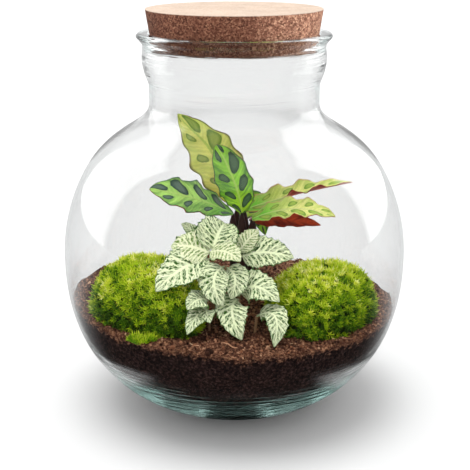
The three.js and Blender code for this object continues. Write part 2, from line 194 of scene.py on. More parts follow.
# %% [markdown]
# ## Mottling
#
# Nothing that grew is one even colour. One group lightens and darkens any colour in soft spots of a
# chosen size, and gives the same spots as a height. All the natural materials below use it.

# %% Mottle group
MOTTLE_DETAIL = 4.0
MOTTLE_SWING = 4.0

mottle, given, result = new_group(
    "Mottle",
    [
        ("Colour", "NodeSocketColor", (1, 1, 1, 1)),
        ("Scale", "NodeSocketFloat", 100),
        ("Amount", "NodeSocketFloat", 0.3),
    ],
    [("Colour", "NodeSocketColor"), ("Height", "NodeSocketFloat")],
)
spots = noise_at(mottle, object_place(mottle), given["Scale"], MOTTLE_DETAIL)
swing = calculate(mottle, "MULTIPLY", calculate(mottle, "SUBTRACT", spots, 0.5), given["Amount"])
brightness = calculate(mottle, "MULTIPLY_ADD", swing, MOTTLE_SWING, 1.0)
lit = add_node(mottle, "ShaderNodeHueSaturation", {"Value": brightness, "Color": given["Colour"]})
mottle.links.new(lit.outputs["Color"], result["Colour"])
mottle.links.new(spots, result["Height"])


# %% Mottling and bumps
def mottled(tree, colour, scale, amount):
    """The colour with spots in it, and the spots as a height: the outputs "Colour" and "Height"."""
    sockets = {"Colour": colour, "Scale": scale, "Amount": amount}
    return add_node(tree, "ShaderNodeGroup", sockets, node_tree=mottle).outputs


def connect(tree, shader, colour, height=None, depth=0.0003, strength=1.0):
    """Puts a colour, and a height as a bump, on a Principled shader."""
    tree.links.new(colour, shader.inputs["Base Color"])
    if height is not None:
        bump = add_node(tree, "ShaderNodeBump", {"Height": height, "Distance": depth, "Strength": strength})
        tree.links.new(bump.outputs["Normal"], shader.inputs["Normal"])


# %% [markdown]
# ## Camera
#
# The camera comes first, so that every later step can be looked at from it. It stands in front of the
# jar, a little above the cork, and looks down on it. The lens is long, as in most product pictures:
# the jar's two sides stay nearly upright.

# %% Camera
CAMERA_PLACE = (0, -0.7385, 0.352)
CAMERA_TILT = math.radians(16.9)
CAMERA_LENS = 79.55
CAMERA_SHIFT = 0.0015

camera = add_object("camera", bpy.data.cameras.new("camera"))
camera.data.lens = CAMERA_LENS
camera.data.shift_x = CAMERA_SHIFT
camera.location = CAMERA_PLACE
camera.rotation_euler = (math.pi / 2 - CAMERA_TILT, 0, 0)
bpy.context.scene.camera = camera
bpy.context.scene.view_settings.view_transform = "Standard"
print("camera", CAMERA_LENS, "mm, looking down by", round(math.degrees(CAMERA_TILT), 1), "degrees")

# %% [markdown]
# ## The jar
#
# A blown jar is one piece of glass: a globe, a shoulder that runs into a short neck, a soft bulge and
# a rolled lip. Blown glass isn't even. The wall is thin at the widest ring and thick at the foot, and
# that thick foot is where its green tint shows.
#
# A sphere with a modifier for its wall could not do that, so the outline of both the outer and the
# inner wall is drawn and turned round the axis. The lower half is a superellipse: a little squarer
# than an ellipse, which is why the jar stands so steadily.

# %% Jar sizes
BODY_RADIUS = 0.125
BODY_CENTRE_Z = 0.1164
BODY_DROP, BODY_POWER = 0.1199, 2.305
INNER_DROP, INNER_POWER = 0.110, 2.5
FOOT_INNER_RADIUS = 0.027
PUNT_HEIGHT = 0.004
WALL = 0.0027
NECK_RADIUS = 0.0608
NECK_LOW_Z, NECK_HIGH_Z = 0.228, 0.241
SHOULDER_ANGLE = math.radians(31.5)
SHOULDER_REACH, NECK_REACH = 0.035, 0.017
LIP_RADIUS, LIP_Z = 0.069, 0.2737
INNER_RADIUS = BODY_RADIUS - WALL
JAR_SIDES = 160
CORK_TOP_Z, CORK_BOTTOM_Z = 0.293, 0.267
CORK_TOP_RADIUS, CORK_BOTTOM_RADIUS = 0.0623, 0.0582


# %% Curves and turned shapes
MERGE_DISTANCE = 1e-6


def smooth_line(points, steps):
    """A smooth curve through points, with a Bezier piece of that many steps between each two."""
    points = [Vector(point) for point in points]
    line = []
    for i in range(len(points) - 1):
        here, ahead = points[i], points[i + 1]
        before, after = points[max(i - 1, 0)], points[min(i + 2, len(points) - 1)]
        leave = here + (ahead - before) / 6
        arrive = ahead - (after - here) / 6
        line += interpolate_bezier(here, leave, arrive, ahead, steps + 1)[:-1]
    return line + [points[-1]]


def spun(profile, sides):
    """A bmesh of a profile of (radius, height) pairs, turned all the way round the Z axis."""
    bm = bmesh.new()
    points = [bm.verts.new((radius, 0, height)) for radius, height in profile]
    lines = [bm.edges.new(pair) for pair in zip(points, points[1:])]
    whole = dict(angle=math.tau, steps=sides, use_merge=True)
    bmesh.ops.spin(bm, geom=points + lines, cent=(0, 0, 0), axis=(0, 0, 1), **whole)
    bmesh.ops.remove_doubles(bm, verts=bm.verts, dist=MERGE_DISTANCE)
    bmesh.ops.recalc_face_normals(bm, faces=bm.faces)
    return bm


# %% Jar walls
def lower_wall(radius, drop, power, lowest_angle, steps=28):
    """The wall from its lowest angle up to the widest ring, as (radius, height) pairs."""
    bow = 2 / power
    angles = [lowest_angle * (1 - i / steps) for i in range(steps + 1)]
    return [(radius * math.cos(a) ** bow, BODY_CENTRE_Z - drop * math.sin(a) ** bow) for a in angles]


def upper_wall(radius, neck_radius, steps=14, shoulder_steps=24):
    """The wall from above the widest ring, as a sphere and then an S-curve, up to the neck."""
    angles = [SHOULDER_ANGLE * i / steps for i in range(1, steps + 1)]
    sphere = [Vector((radius * math.cos(a), BODY_CENTRE_Z + radius * math.sin(a))) for a in angles]
    along = Vector((-math.sin(SHOULDER_ANGLE), math.cos(SHOULDER_ANGLE)))
    neck = Vector((neck_radius, NECK_LOW_Z))
    leave = sphere[-1] + SHOULDER_REACH * along
    shoulder = interpolate_bezier(sphere[-1], leave, neck - Vector((0, NECK_REACH)), neck, shoulder_steps)
    return [tuple(point[:2]) for point in sphere + shoulder[1:]]


# %% Jar outline
def jar_outline():
    """The whole outline of the glass, from the axis out and up, over the lip and back down inside."""
    foot_angle = math.asin((BODY_CENTRE_Z / BODY_DROP) ** (BODY_POWER / 2))
    foot = [(0, PUNT_HEIGHT), (FOOT_INNER_RADIUS * 0.6, PUNT_HEIGHT * 0.75), (FOOT_INNER_RADIUS, 0)]
    mouth = smooth_line(
        [
            (NECK_RADIUS, NECK_HIGH_Z),
            (NECK_RADIUS + 0.0029, NECK_HIGH_Z + 0.008),
            (NECK_RADIUS + 0.0046, NECK_HIGH_Z + 0.017),
            (NECK_RADIUS + 0.0039, NECK_HIGH_Z + 0.026),
            (LIP_RADIUS - 0.003, LIP_Z - 0.0034),
            (LIP_RADIUS, LIP_Z + 0.0004),
            (LIP_RADIUS - 0.002, LIP_Z + 0.0028),
            (CORK_BOTTOM_RADIUS + 0.0034, LIP_Z + 0.0028),
            (CORK_BOTTOM_RADIUS + 0.0024, LIP_Z + 0.0016),
            (CORK_BOTTOM_RADIUS + 0.0023, LIP_Z - 0.003),
            (NECK_RADIUS + 0.0019, NECK_HIGH_Z + 0.022),
            (NECK_RADIUS + 0.0016, NECK_HIGH_Z + 0.013),
            (NECK_RADIUS - WALL, NECK_HIGH_Z),
        ],
        steps=6,
    )
    outside = smooth_line(foot, steps=3) + lower_wall(BODY_RADIUS, BODY_DROP, BODY_POWER, foot_angle)[1:]
    outside += upper_wall(BODY_RADIUS, NECK_RADIUS)
    inside = lower_wall(INNER_RADIUS, INNER_DROP, INNER_POWER, math.pi / 2)
    inside += upper_wall(INNER_RADIUS, NECK_RADIUS - WALL)
    return outside + mouth + inside[::-1]


def inner_wall_radius(z):
    """How far the inside of the globe is from the axis at a height below its widest ring."""
    drop = min(max((BODY_CENTRE_Z - z) / INNER_DROP, 0), 1)
    return INNER_RADIUS * (1 - drop**INNER_POWER) ** (1 / INNER_POWER)


outline = [(max(point[0], 0), point[1]) for point in jar_outline()]
print("jar outline:", len(outline), "points, widest", max(point[0] for point in outline))

# %% [markdown]
# ### Glass
#
# Clear glass needs three things. Light bends in it, which the Principled shader's transmission does.
# It takes a little red out of the light on the way, so a long way through it looks green: that is a
# Volume Absorption shader, and the thick foot turns green by itself. And light must get through it to
# the plants. Cycles treats refracting glass as opaque to lamps, so for shadow rays only the shader is
# swapped for a plain Transparent one. Faint ripples, long round the jar and short up it, are the
# marks of blowing, and they break up the bands in the foot.

# %% Glass material
GLASS_CLEAR = (0.9, 0.9, 0.9, 1)
GLASS_SHADOW = (0.96, 0.97, 0.965, 1)
GLASS_TINT, TINT_DENSITY = (0.55, 0.95, 0.88, 1), 5.0
REFRACTION = 1.5
RIPPLE_STRETCH = (14, 14, 330)
RIPPLE_DEPTH = 0.0008
FOOT_RIPPLES_Z = (0.075, 0.03)
NECK_RIPPLES_Z, NECK_RIPPLES = (0.225, 0.245), 0.7

glass, tree, shader = new_material("glass", 0.0)
shader.inputs["Base Color"].default_value = GLASS_CLEAR
shader.inputs["Transmission Weight"].default_value = 1.0
shader.inputs["IOR"].default_value = REFRACTION
place = object_place(tree)
stretched = add_node(tree, "ShaderNodeMapping", {"Vector": place, "Scale": RIPPLE_STRETCH})
ripples = noise_at(tree, stretched.outputs["Vector"], scale=1.0, detail=2.0)
height = axes_of(tree, place)["Z"]
in_foot = step_between(tree, height, *FOOT_RIPPLES_Z)
in_neck = step_between(tree, height, *NECK_RIPPLES_Z)
where = calculate(tree, "MULTIPLY_ADD", in_neck, NECK_RIPPLES, in_foot)
rippled = calculate(tree, "MULTIPLY", ripples, where)
bump = add_node(tree, "ShaderNodeBump", {"Height": rippled, "Distance": RIPPLE_DEPTH, "Strength": 1.0})
tree.links.new(bump.outputs["Normal"], shader.inputs["Normal"])
clear = add_node(tree, "ShaderNodeBsdfTransparent", {"Color": GLASS_SHADOW}).outputs["BSDF"]
is_shadow = add_node(tree, "ShaderNodeLightPath").outputs["Is Shadow Ray"]
swapped = add_node(tree, "ShaderNodeMixShader", {0: is_shadow, 1: shader.outputs["BSDF"], 2: clear})
tint = add_node(tree, "ShaderNodeVolumeAbsorption", {"Color": GLASS_TINT, "Density": TINT_DENSITY})
output = tree.nodes["Material Output"]
tree.links.new(swapped.outputs["Shader"], output.inputs["Surface"])
tree.links.new(tint.outputs["Volume"], output.inputs["Volume"])

# %% Glass jar
add_piece("jar_glass", spun(outline, JAR_SIDES), [glass], ["glass_jar"])

# %% [markdown]
# ## The cork
#
# The stopper is agglomerated cork: granules of bark about a millimetre across, pressed together with a
# binder. Between them are dark gaps, and here and there a granule has fallen out and left a pit.
#
# A Voronoi texture is made of such cells. Its mesh twin, `noise.voronoi`, gives the distance to the
# nearest cell centres, so the same idea shapes real relief in the mesh and colour in the shader. The
# top face is paler than the flank, and the flank is painted lighter towards the viewer's right: painted
# light from that side.

# %% Cork body
CORK_EDGE, CORK_EDGE_STEPS = 0.0009, 5
CORK_FLANK_STEPS, CORK_FACE_RINGS, CORK_SIDES = 22, 44, 300
CORK_GRAIN = 0.001
CORK_RELIEF, CORK_GAP_SHARPNESS = 0.00018, 4
CORK_PIT, CORK_PIT_SHARPNESS = 0.0006, 1.8
PIT_RARITY, PIT_SEED = 0.42, 5.3


def cork_outline():
    """Flat underside, tapering flank and flat top, with the two edges rounded."""
    low_corner = Vector((CORK_BOTTOM_RADIUS, CORK_BOTTOM_Z))
    high_corner = Vector((CORK_TOP_RADIUS, CORK_TOP_Z))
    rise = (high_corner - low_corner).normalized() * CORK_EDGE
    inwards = Vector((-CORK_EDGE, 0))
    low_end, high_start = low_corner + rise, high_corner - rise
    low = interpolate_bezier(low_corner + inwards, low_corner, low_corner, low_end, CORK_EDGE_STEPS)
    high = interpolate_bezier(high_start, high_corner, high_corner, high_corner + inwards, CORK_EDGE_STEPS)
    side = [low[-1].lerp(high[0], i / CORK_FLANK_STEPS) for i in range(1, CORK_FLANK_STEPS)]
    rings = CORK_FACE_RINGS
    under = [Vector((low[0].x * i / rings, CORK_BOTTOM_Z)) for i in range(rings)]
    top = [Vector((high[-1].x * (1 - i / rings), CORK_TOP_Z)) for i in range(1, rings + 1)]
    return [tuple(point[:2]) for point in under + low + side + high + top]


cork_bm = spun(cork_outline(), CORK_SIDES)
cork_bm.normal_update()
for vert in cork_bm.verts:
    distances, centres = noise.voronoi(vert.co / CORK_GRAIN)
    sunk = CORK_RELIEF * max(0, 1 - CORK_GAP_SHARPNESS * (distances[1] - distances[0]))
    if noise.noise(centres[0] * PIT_SEED) > PIT_RARITY:
        sunk += CORK_PIT * max(0, 1 - distances[0] * CORK_PIT_SHARPNESS)
    vert.co -= vert.normal * sunk

# %% Cork colours
CORK_GAP_COLOUR = screen_colour(64, 36, 27)
CORK_SPECK_COLOUR = screen_colour(46, 25, 19)
CORK_TOP_DARK, CORK_TOP_PALE = screen_colour(170, 150, 134), screen_colour(181, 165, 150)
CORK_TOP_SPECK = screen_colour(152, 111, 88)
CORK_SPECK_SCALE = 1100.0
GAP_EDGE, GAP_SHARE = (0.07, 0.01), 0.5
SPECK_EDGE, SPECK_SHARE, TOP_SPECK_SHARE = (0.6, 0.68), 0.8, 0.3
TOP_FACE_FROM_Z, TOP_FACE_TO_Z = CORK_TOP_Z - 0.0008, CORK_TOP_Z - 0.0002
# Where the painted light on the flank's right side begins and ends, and how much lighter it makes it.
LIT_SIDE_FROM_X, LIT_SIDE_TO_X = 0.0, 0.055
PAINTED_SIDE_LIGHT = (3.0, 3.8, 4.2, 1)

# %% Cork material
cork, tree, shader = new_material("cork", 0.9, specular=0.2)
place = object_place(tree)
cells = {"Vector": place, "Scale": 1 / CORK_GRAIN}
granules = add_node(tree, "ShaderNodeTexVoronoi", cells).outputs["Color"]
gaps = add_node(tree, "ShaderNodeTexVoronoi", cells, feature="DISTANCE_TO_EDGE").outputs["Distance"]
specks = noise_at(tree, place, CORK_SPECK_SCALE, detail=3.0)
granule_shade = add_node(tree, "ShaderNodeSeparateColor", {"Color": granules}).outputs["Red"]
bark_colours = [
    (0.0, screen_colour(66, 37, 26)),
    (0.3, screen_colour(95, 57, 42)),
    (0.75, screen_colour(122, 79, 61)),
    (1.0, screen_colour(149, 106, 82)),
]
bark = colour_ramp(tree, granule_shade, bark_colours)
in_gap = step_between(tree, gaps, *GAP_EDGE)
speckled = step_between(tree, specks, *SPECK_EDGE)
flank = mix_colours(tree, calculate(tree, "MULTIPLY", in_gap, GAP_SHARE), bark, CORK_GAP_COLOUR)
flank = mix_colours(tree, calculate(tree, "MULTIPLY", speckled, SPECK_SHARE), flank, CORK_SPECK_COLOUR)
# Painted light: the flank turns up to about four times lighter towards the viewer's right, as if lit from
# that side.
lit_right_share = step_between(tree, axes_of(tree, place)["X"], LIT_SIDE_FROM_X, LIT_SIDE_TO_X)
flank = mix_colours(tree, lit_right_share, flank, PAINTED_SIDE_LIGHT, "MULTIPLY")
top = mix_colours(tree, granule_shade, CORK_TOP_DARK, CORK_TOP_PALE)
top = mix_colours(tree, calculate(tree, "MULTIPLY", speckled, TOP_SPECK_SHARE), top, CORK_TOP_SPECK)
on_top_face = step_between(tree, axes_of(tree, place)["Z"], TOP_FACE_FROM_Z, TOP_FACE_TO_Z)
spotted = mottled(tree, mix_colours(tree, on_top_face, flank, top), scale=60.0, amount=0.12)
connect(tree, shader, spotted["Colour"], specks, depth=0.0003, strength=0.5)

# %% Cork stopper
add_piece("cork_granulated", cork_bm, [cork], ["cork_stopper"])

# %% [markdown]
# ## Copies of small shapes
#
# Soil crumbs and moss shoots are small shapes in their thousands. Joining objects would be slow, and
# instances are lost on export. So a small template mesh is moved to each place and read into the
# growing bmesh with `from_mesh`, which is quick and keeps the template's attributes.
#
# Each copy has a shade, kept in a point attribute that the material reads: a template's own value is
# how far its point is towards the light.


# %% Scatter helper
def template_mesh(name, bm, lightness):
    """A mesh for scatter, with the attribute "shade" worked out from each point by lightness."""
    mesh = mesh_from(name, bm)
    shade = mesh.attributes.new("shade", "FLOAT", "POINT")
    shade.data.foreach_set("value", [lightness(vertex.co) for vertex in mesh.vertices])
    return mesh


def scatter(bm, template, copies, own_share):
    """Adds the template to bm once for each (matrix, shade). own_share is how much its own shade counts."""
    points = np.empty(len(template.vertices) * 3)
    template.vertices.foreach_get("co", points)
    points = points.reshape(-1, 3)
    own = np.empty(len(template.vertices))
    template.attributes["shade"].data.foreach_get("value", own)
    for matrix, shade in copies:
        turn = np.array(matrix)
        template.vertices.foreach_set("co", (points @ turn[:3, :3].T + turn[:3, 3]).ravel())
        template.attributes["shade"].data.foreach_set("value", shade + own_share * (own - 0.5))
        bm.from_mesh(template)
    template.vertices.foreach_set("co", points.ravel())
    template.attributes["shade"].data.foreach_set("value", own)


def aimed(place, direction, spin, scale):
    """A matrix that puts a template at a place, with its Z axis along a direction."""
    upright = direction.to_track_quat("Z", "Y").to_matrix().to_4x4()
    return Matrix.Translation(place) @ upright @ Matrix.Rotation(spin, 4, "Z") @ Matrix.Diagonal((*scale, 1))


# %% [markdown]
# ## The soil
#
# Potting soil is dark and fine. Its top is broken into crumbs and fibres, and is drier and redder than
# the damp soil that is pressed against the glass. The bed fills the jar's own curve, a hair inside
# the glass, up to an uneven top.
#
# A turned outline gives the rings of the body. Then each ring is moved to where it belongs: up the
# glass on the side, and to the height of the ground on the top, with fractal noise for its clods.
#
# Each point also keeps its dryness: 2 on top, 1 where the ground meets the glass, and less and less
# below that. The material turns from damp to dry near the rim, and noise makes that line ragged.

# %% Soil shape
SOIL_RADIUS = 0.119
SOIL_MIDDLE_Z = 0.084
SOIL_GLASS_GAP = 0.0004
SOIL_LUMP = 0.0009
CLOD_SCALE, CLOD_HEIGHT = 170, 0.0019
CLOD_SMOOTHNESS, CLOD_SHRINKING, CLOD_LEVELS = 0.7, 2.1, 5
STEP_SCALE, STEP_HEIGHT = 700, 0.0008
DENT_SCALE, DENT_DEPTH = 420, 0.0008
DRY_RIM, DRY_TOP = 0.006, 2
SOIL_LOWEST_Z = BODY_CENTRE_Z - INNER_DROP + SOIL_GLASS_GAP
SOIL_SIDE_RINGS, SOIL_TOP_RINGS, SOIL_SIDES = 44, 80, 320


# %% Ground height
def soil_height(x, y):
    """Height of the ground: highest at the left, lowest at the back, with shallow lumps."""
    across, deep = x / SOIL_RADIUS, y / SOIL_RADIUS
    slope = -0.004 * across - 0.0037 * deep - 0.001 * across**2 - 0.007 * deep**2
    lumps = math.sin(110 * x + 1.3) * math.cos(130 * y - 0.4) + 0.6 * math.sin(230 * x - 190 * y)
    return SOIL_MIDDLE_Z + slope + SOIL_LUMP * lumps


def soil_clods(x, y):
    """Height of the clods and crumbs on that ground."""
    place = Vector((x, y, 0))
    coarse = noise.fractal(place * CLOD_SCALE, CLOD_SMOOTHNESS, CLOD_SHRINKING, CLOD_LEVELS)
    fine = noise.cell(place * STEP_SCALE)
    return CLOD_HEIGHT * coarse + STEP_HEIGHT * (fine - 0.5)


def soil_edge(turn):
    """Radius and height at which the ground meets the glass, in a direction round the jar."""
    height = soil_height(SOIL_RADIUS * math.cos(turn), SOIL_RADIUS * math.sin(turn))
    return inner_wall_radius(height) - SOIL_GLASS_GAP, height


# %% Soil body
side_steps = [math.sin(math.pi / 2 * i / SOIL_SIDE_RINGS) ** 2 for i in range(SOIL_SIDE_RINGS + 1)]
side_rings = [(0 if step == 0 else SOIL_RADIUS, step) for step in side_steps]
top_rings = [(SOIL_RADIUS * (1 - i / SOIL_TOP_RINGS), 1) for i in range(1, SOIL_TOP_RINGS + 1)]
soil_bm = spun(side_rings + top_rings, SOIL_SIDES)
dryness = soil_bm.verts.layers.float.new("dryness")
for vert in soil_bm.verts:
    x, y, share = vert.co
    turn = math.atan2(y, x)
    edge_radius, edge_height = soil_edge(turn)
    if share < 1:
        height = SOIL_LOWEST_Z + share * (edge_height - SOIL_LOWEST_Z)
        dent = abs(noise.noise(Vector((x, y, height)) * DENT_SCALE)) * DENT_DEPTH
        radius = max(inner_wall_radius(height) - SOIL_GLASS_GAP - dent, 0) if share > 0 else 0
        vert.co = (radius * math.cos(turn), radius * math.sin(turn), height)
        vert[dryness] = 1 - (edge_height - height) / DRY_RIM
    else:
        radius = edge_radius * math.hypot(x, y) / SOIL_RADIUS
        x, y = radius * math.cos(turn), radius * math.sin(turn)
        vert.co = (x, y, soil_height(x, y) + soil_clods(x, y))
        vert[dryness] = DRY_TOP
bmesh.ops.recalc_face_normals(soil_bm, faces=soil_bm.faces)

# %% Soil material
SOIL_GRAIN_SCALE = 520.0
RAGGED_SCALE, RAGGED_SHARE = 260.0, 2.4
DRY_EDGE = (1.5, 2.2)
DAMP = screen_colour(120, 124, 148)

soil, tree, shader = new_material("soil", 0.95, specular=0.15)
place = object_place(tree)
grains = noise_at(tree, place, SOIL_GRAIN_SCALE, detail=5.0, roughness=0.7)
soil_colours = [
    (0.34, screen_colour(26, 15, 12)),
    (0.5, screen_colour(94, 60, 46)),
    (0.62, screen_colour(166, 118, 90)),
    (0.8, screen_colour(214, 174, 142)),
]
dry_soil = colour_ramp(tree, grains, soil_colours)
damp_soil = mix_colours(tree, 1.0, dry_soil, DAMP, "MULTIPLY")
ragged = noise_at(tree, place, RAGGED_SCALE, detail=3.0)
dry_here = calculate(tree, "MULTIPLY_ADD", ragged, RAGGED_SHARE, read_attribute(tree, "dryness"))
ground = mix_colours(tree, step_between(tree, dry_here, *DRY_EDGE), damp_soil, dry_soil)
spotted = mottled(tree, ground, scale=70.0, amount=0.2)
connect(tree, shader, spotted["Colour"], grains, depth=0.0012, strength=0.8)

# %% Soil bed
add_piece("soil_mass", soil_bm, [soil], ["soil_bed"])

# %% [markdown]
# ### Crumbs and fibres
#
# The loose crumbs and the peat fibres on top are what makes it read as soil and not as felt. Crumbs
# are small dented icospheres. Fibres are short bent tubes, which come from a circle that is extruded
# along a path. The leaf stalks need the same tube later, so it is a function. One more copy of the
# last fibre shape, about twice as long as most, is the twig that lies in front of the nerve plant.


# %% Tube helper
def each_once(items):
    """The items in their own order, each once. A set would give another order in every run."""
    return list(dict.fromkeys(items))


def ring_edges(ring):
    """The edges that join the points of a ring, without those that lead away from it."""
    edges = each_once(edge for vert in ring for edge in vert.link_edges)
    return [edge for edge in edges if all(vert in ring for vert in edge.verts)]


def add_tube(bm, path, radii, sides, material_index=0):
    """Adds a closed round tube along a path of points, with its own radius at each point."""
    path = [Vector(point) for point in path]
    heading = (path[1] - path[0]).normalized()
    start = Matrix.Translation(path[0]) @ heading.to_track_quat("Z", "Y").to_matrix().to_4x4()
    first = dict(cap_ends=True, radius=radii[0], segments=sides, matrix=start)
    ring = bmesh.ops.create_circle(bm, **first)["verts"]
    faces = each_once(face for vert in ring for face in vert.link_faces)
    for i in range(1, len(path)):
        grown = bmesh.ops.extrude_edge_only(bm, edges=ring_edges(ring))["geom"]
        ring = [item for item in grown if isinstance(item, bmesh.types.BMVert)]
        faces += [item for item in grown if isinstance(item, bmesh.types.BMFace)]
        next_heading = (path[min(i + 1, len(path) - 1)] - path[i - 1]).normalized()
        bend = heading.rotation_difference(next_heading).to_matrix().to_4x4()
        scale = Matrix.Scale(radii[i] / radii[i - 1], 4)
        move = Matrix.Translation(path[i]) @ bend @ scale @ Matrix.Translation(-path[i - 1])
        bmesh.ops.transform(bm, matrix=move, verts=ring)
        heading = next_heading
    faces += bmesh.ops.contextual_create(bm, geom=ring_edges(ring))["faces"]
    bmesh.ops.recalc_face_normals(bm, faces=faces)
    for face in faces:
        face.material_index = material_index


# %% Random places
LITTER_REACH = 0.1165

draw = random.Random(11)


def ground_spot(reach):
    """A random spot on the ground."""
    radius, turn = reach * math.sqrt(draw.random()), draw.uniform(0, 2 * math.pi)
    x, y = radius * math.cos(turn), radius * math.sin(turn)
    return Vector((x, y, soil_height(x, y)))


def random_direction():
    """A random direction in space, none likelier than another."""
    return Vector((draw.gauss(0, 1), draw.gauss(0, 1), draw.gauss(0, 1))).normalized()


# %% Crumbs
CRUMB_COUNT, CRUMB_SHAPES = 6400, 4
CRUMB_RADIUS = 0.00075

litter_bm = bmesh.new()
for shape in range(CRUMB_SHAPES):
    crumb_bm = bmesh.new()
    bmesh.ops.create_icosphere(crumb_bm, subdivisions=1, radius=1)
    for vert in crumb_bm.verts:
        vert.co *= draw.uniform(0.7, 1.2)
    crumb = template_mesh(f"crumb_{shape}", crumb_bm, lambda point: 0.5)
    copies = []
    for _ in range(CRUMB_COUNT // CRUMB_SHAPES):
        spot = ground_spot(LITTER_REACH)
        size = CRUMB_RADIUS * draw.lognormvariate(0, 0.4)
        spot.z += soil_clods(spot.x, spot.y) + size * 0.2
        scale = (size * draw.uniform(0.7, 1.3), size, size * draw.uniform(0.6, 1))
        copies.append((aimed(spot, random_direction(), draw.uniform(0, 6), scale), draw.random()))
    scatter(litter_bm, crumb, copies, own_share=0)
print(CRUMB_COUNT, "crumbs")

# %% Fibres and twig
FIBRE_COUNT, FIBRE_SHAPES = 420, 6
FIBRE_RADII = [0.016, 0.026, 0.028, 0.022, 0.008]
FIBRE_LIFT = 0.0006
TWIG_X, TWIG_Y, TWIG_TURN, TWIG_LENGTH = -0.004, -0.104, -0.8, 0.015
TWIG_LIFT, TWIG_SHADE = 0.0012, 0.9
UPWARDS = Vector((0, 0, 1))

for shape in range(FIBRE_SHAPES):
    fibre_bm = bmesh.new()
    bends = [Vector((i / 4 - 0.5, draw.uniform(-0.12, 0.12), draw.uniform(-0.04, 0.1))) for i in range(5)]
    add_tube(fibre_bm, bends, FIBRE_RADII, sides=3)
    fibre = template_mesh(f"fibre_{shape}", fibre_bm, lambda point: 0.5)
    copies = []
    for _ in range(FIBRE_COUNT // FIBRE_SHAPES):
        spot = ground_spot(LITTER_REACH - 0.006)
        spot.z += soil_clods(spot.x, spot.y) + FIBRE_LIFT
        length = draw.uniform(0.004, 0.011)
        leaning = Vector((draw.uniform(-0.3, 0.3), draw.uniform(-0.3, 0.3), 1)).normalized()
        copies.append((aimed(spot, leaning, draw.uniform(0, 6.28), (length,) * 3), draw.uniform(0.4, 1.3)))
    scatter(litter_bm, fibre, copies, own_share=0)

twig_place = Vector((TWIG_X, TWIG_Y, soil_height(TWIG_X, TWIG_Y) + TWIG_LIFT))
twig = aimed(twig_place, UPWARDS, TWIG_TURN, (TWIG_LENGTH,) * 3)
scatter(litter_bm, fibre, [(twig, TWIG_SHADE)], own_share=0)
print(FIBRE_COUNT, "fibres and a twig")

# %% Litter material
litter, tree, shader = new_material("soil litter", 0.9, specular=0.2)
litter_colours = [
    (0.0, screen_colour(34, 20, 16)),
    (0.5, screen_colour(100, 62, 46)),
    (0.85, screen_colour(168, 112, 82)),
    (1.0, screen_colour(222, 180, 144)),
]
crumb_colour = colour_ramp(tree, read_attribute(tree, "shade"), litter_colours)
spotted = mottled(tree, crumb_colour, scale=900.0, amount=0.2)
connect(tree, shader, spotted["Colour"], spotted["Height"], depth=0.0003)

# %% Loose litter
add_piece("soil_litter", litter_bm, [litter], smooth=False)

# %% [markdown]
# ## The moss
#
# Each cushion is thousands of upright shoots, packed so closely that they look like one green dome.
# A shoot ends in a small star of pointed leaves. Shoots high up are yellow-green, partly as young
# growth is and partly as painted light, and those low down are painted deep green, a painted shade.
#
# The dome is half a sphere that is pulled to the cushion's size, and it stays inside as a dark core.
# Its faces say where shoots grow and which way they point. One star of narrow cones is the template.

# %% Moss sizes
MOSS_SUNK = 0.004
MOSS_GLASS_GAP = 0.001
DOME_AROUND, DOME_UP = 72, 48
DOME_LUMP_SCALE, DOME_LUMP = 90, 0.0022
DOME_SPREAD, DOME_FULLNESS = 0.85, 0.8
DOME_WAVES, DOME_WAVE, DOME_WAVE_SEED = 3, 0.05, 1000
SHOOT_SPACING = 0.0021
SHOOT_LEAVES = 7
SHOOT_LENGTH = 0.0046
SHOOT_CONE = dict(cap_ends=True, segments=3, radius1=0.15, radius2=0)
UPRIGHT_LEAN, LEAST_LEAN, MOST_LEAN = 0.08, 0.7, 1.15
TUFT_SIZE = 0.0065
TUFT_RISE = 0.0022
CUSHIONS = [
    dict(
        node="moss_cushion_left",
        centre=(-0.060, -0.052),
        radial=0.033,
        tangential=0.045,
        height=0.037,
        strays=[(-0.066, -0.0965), (-0.061, -0.0975), (-0.056, -0.0950)],
    ),
    dict(
        node="moss_cushion_right",
        centre=(0.061, -0.045),
        radial=0.034,
        tangential=0.045,
        height=0.034,
        strays=[(0.060, -0.0780), (0.0675, -0.0790), (0.063, -0.0833)],
    ),
]


# %% Moss dome
def dome_point(cushion, unit):
    """Where a point of the unit half sphere lies on a cushion."""
    centre = Vector(cushion["centre"])
    outward = centre.normalized()
    sideways = Vector((-outward.y, outward.x))
    floor = soil_height(*centre) - MOSS_SUNK
    flat = math.hypot(unit.x, unit.y)
    turn = math.atan2(unit.y, unit.x)
    wave = math.sin(DOME_WAVES * turn + centre.x * DOME_WAVE_SEED)
    share = flat**DOME_SPREAD * (1 + DOME_WAVE * wave)
    spot = centre
    spot = spot + outward * (math.cos(turn) * share * cushion["radial"])
    spot = spot + sideways * (math.sin(turn) * share * cushion["tangential"])
    z = floor + max(unit.z, 0) ** DOME_FULLNESS * (cushion["height"] + MOSS_SUNK)
    lumps = noise.noise(Vector((spot.x, spot.y, z)) * DOME_LUMP_SCALE) * DOME_LUMP
    limit = inner_wall_radius(z) - MOSS_GLASS_GAP - SHOOT_LENGTH * 0.5
    if spot.length > limit:
        spot = spot * (limit / spot.length)
    return Vector((spot.x, spot.y, z + lumps))


def moss_dome(cushion):
    """A closed half sphere in a cushion's shape."""
    bm = bmesh.new()
    bmesh.ops.create_uvsphere(bm, u_segments=DOME_AROUND, v_segments=DOME_UP, radius=1)
    everything = bm.verts[:] + bm.edges[:] + bm.faces[:]
    cut = dict(plane_co=(0, 0, 1e-4), plane_no=(0, 0, 1), clear_inner=True)
    bmesh.ops.bisect_plane(bm, geom=everything, **cut)
    rim = [edge for edge in bm.edges if edge.is_boundary]
    bmesh.ops.contextual_create(bm, geom=rim)
    for vert in bm.verts:
        vert.co = dome_point(cushion, vert.co)
    bmesh.ops.recalc_face_normals(bm, faces=bm.faces)
    return bm


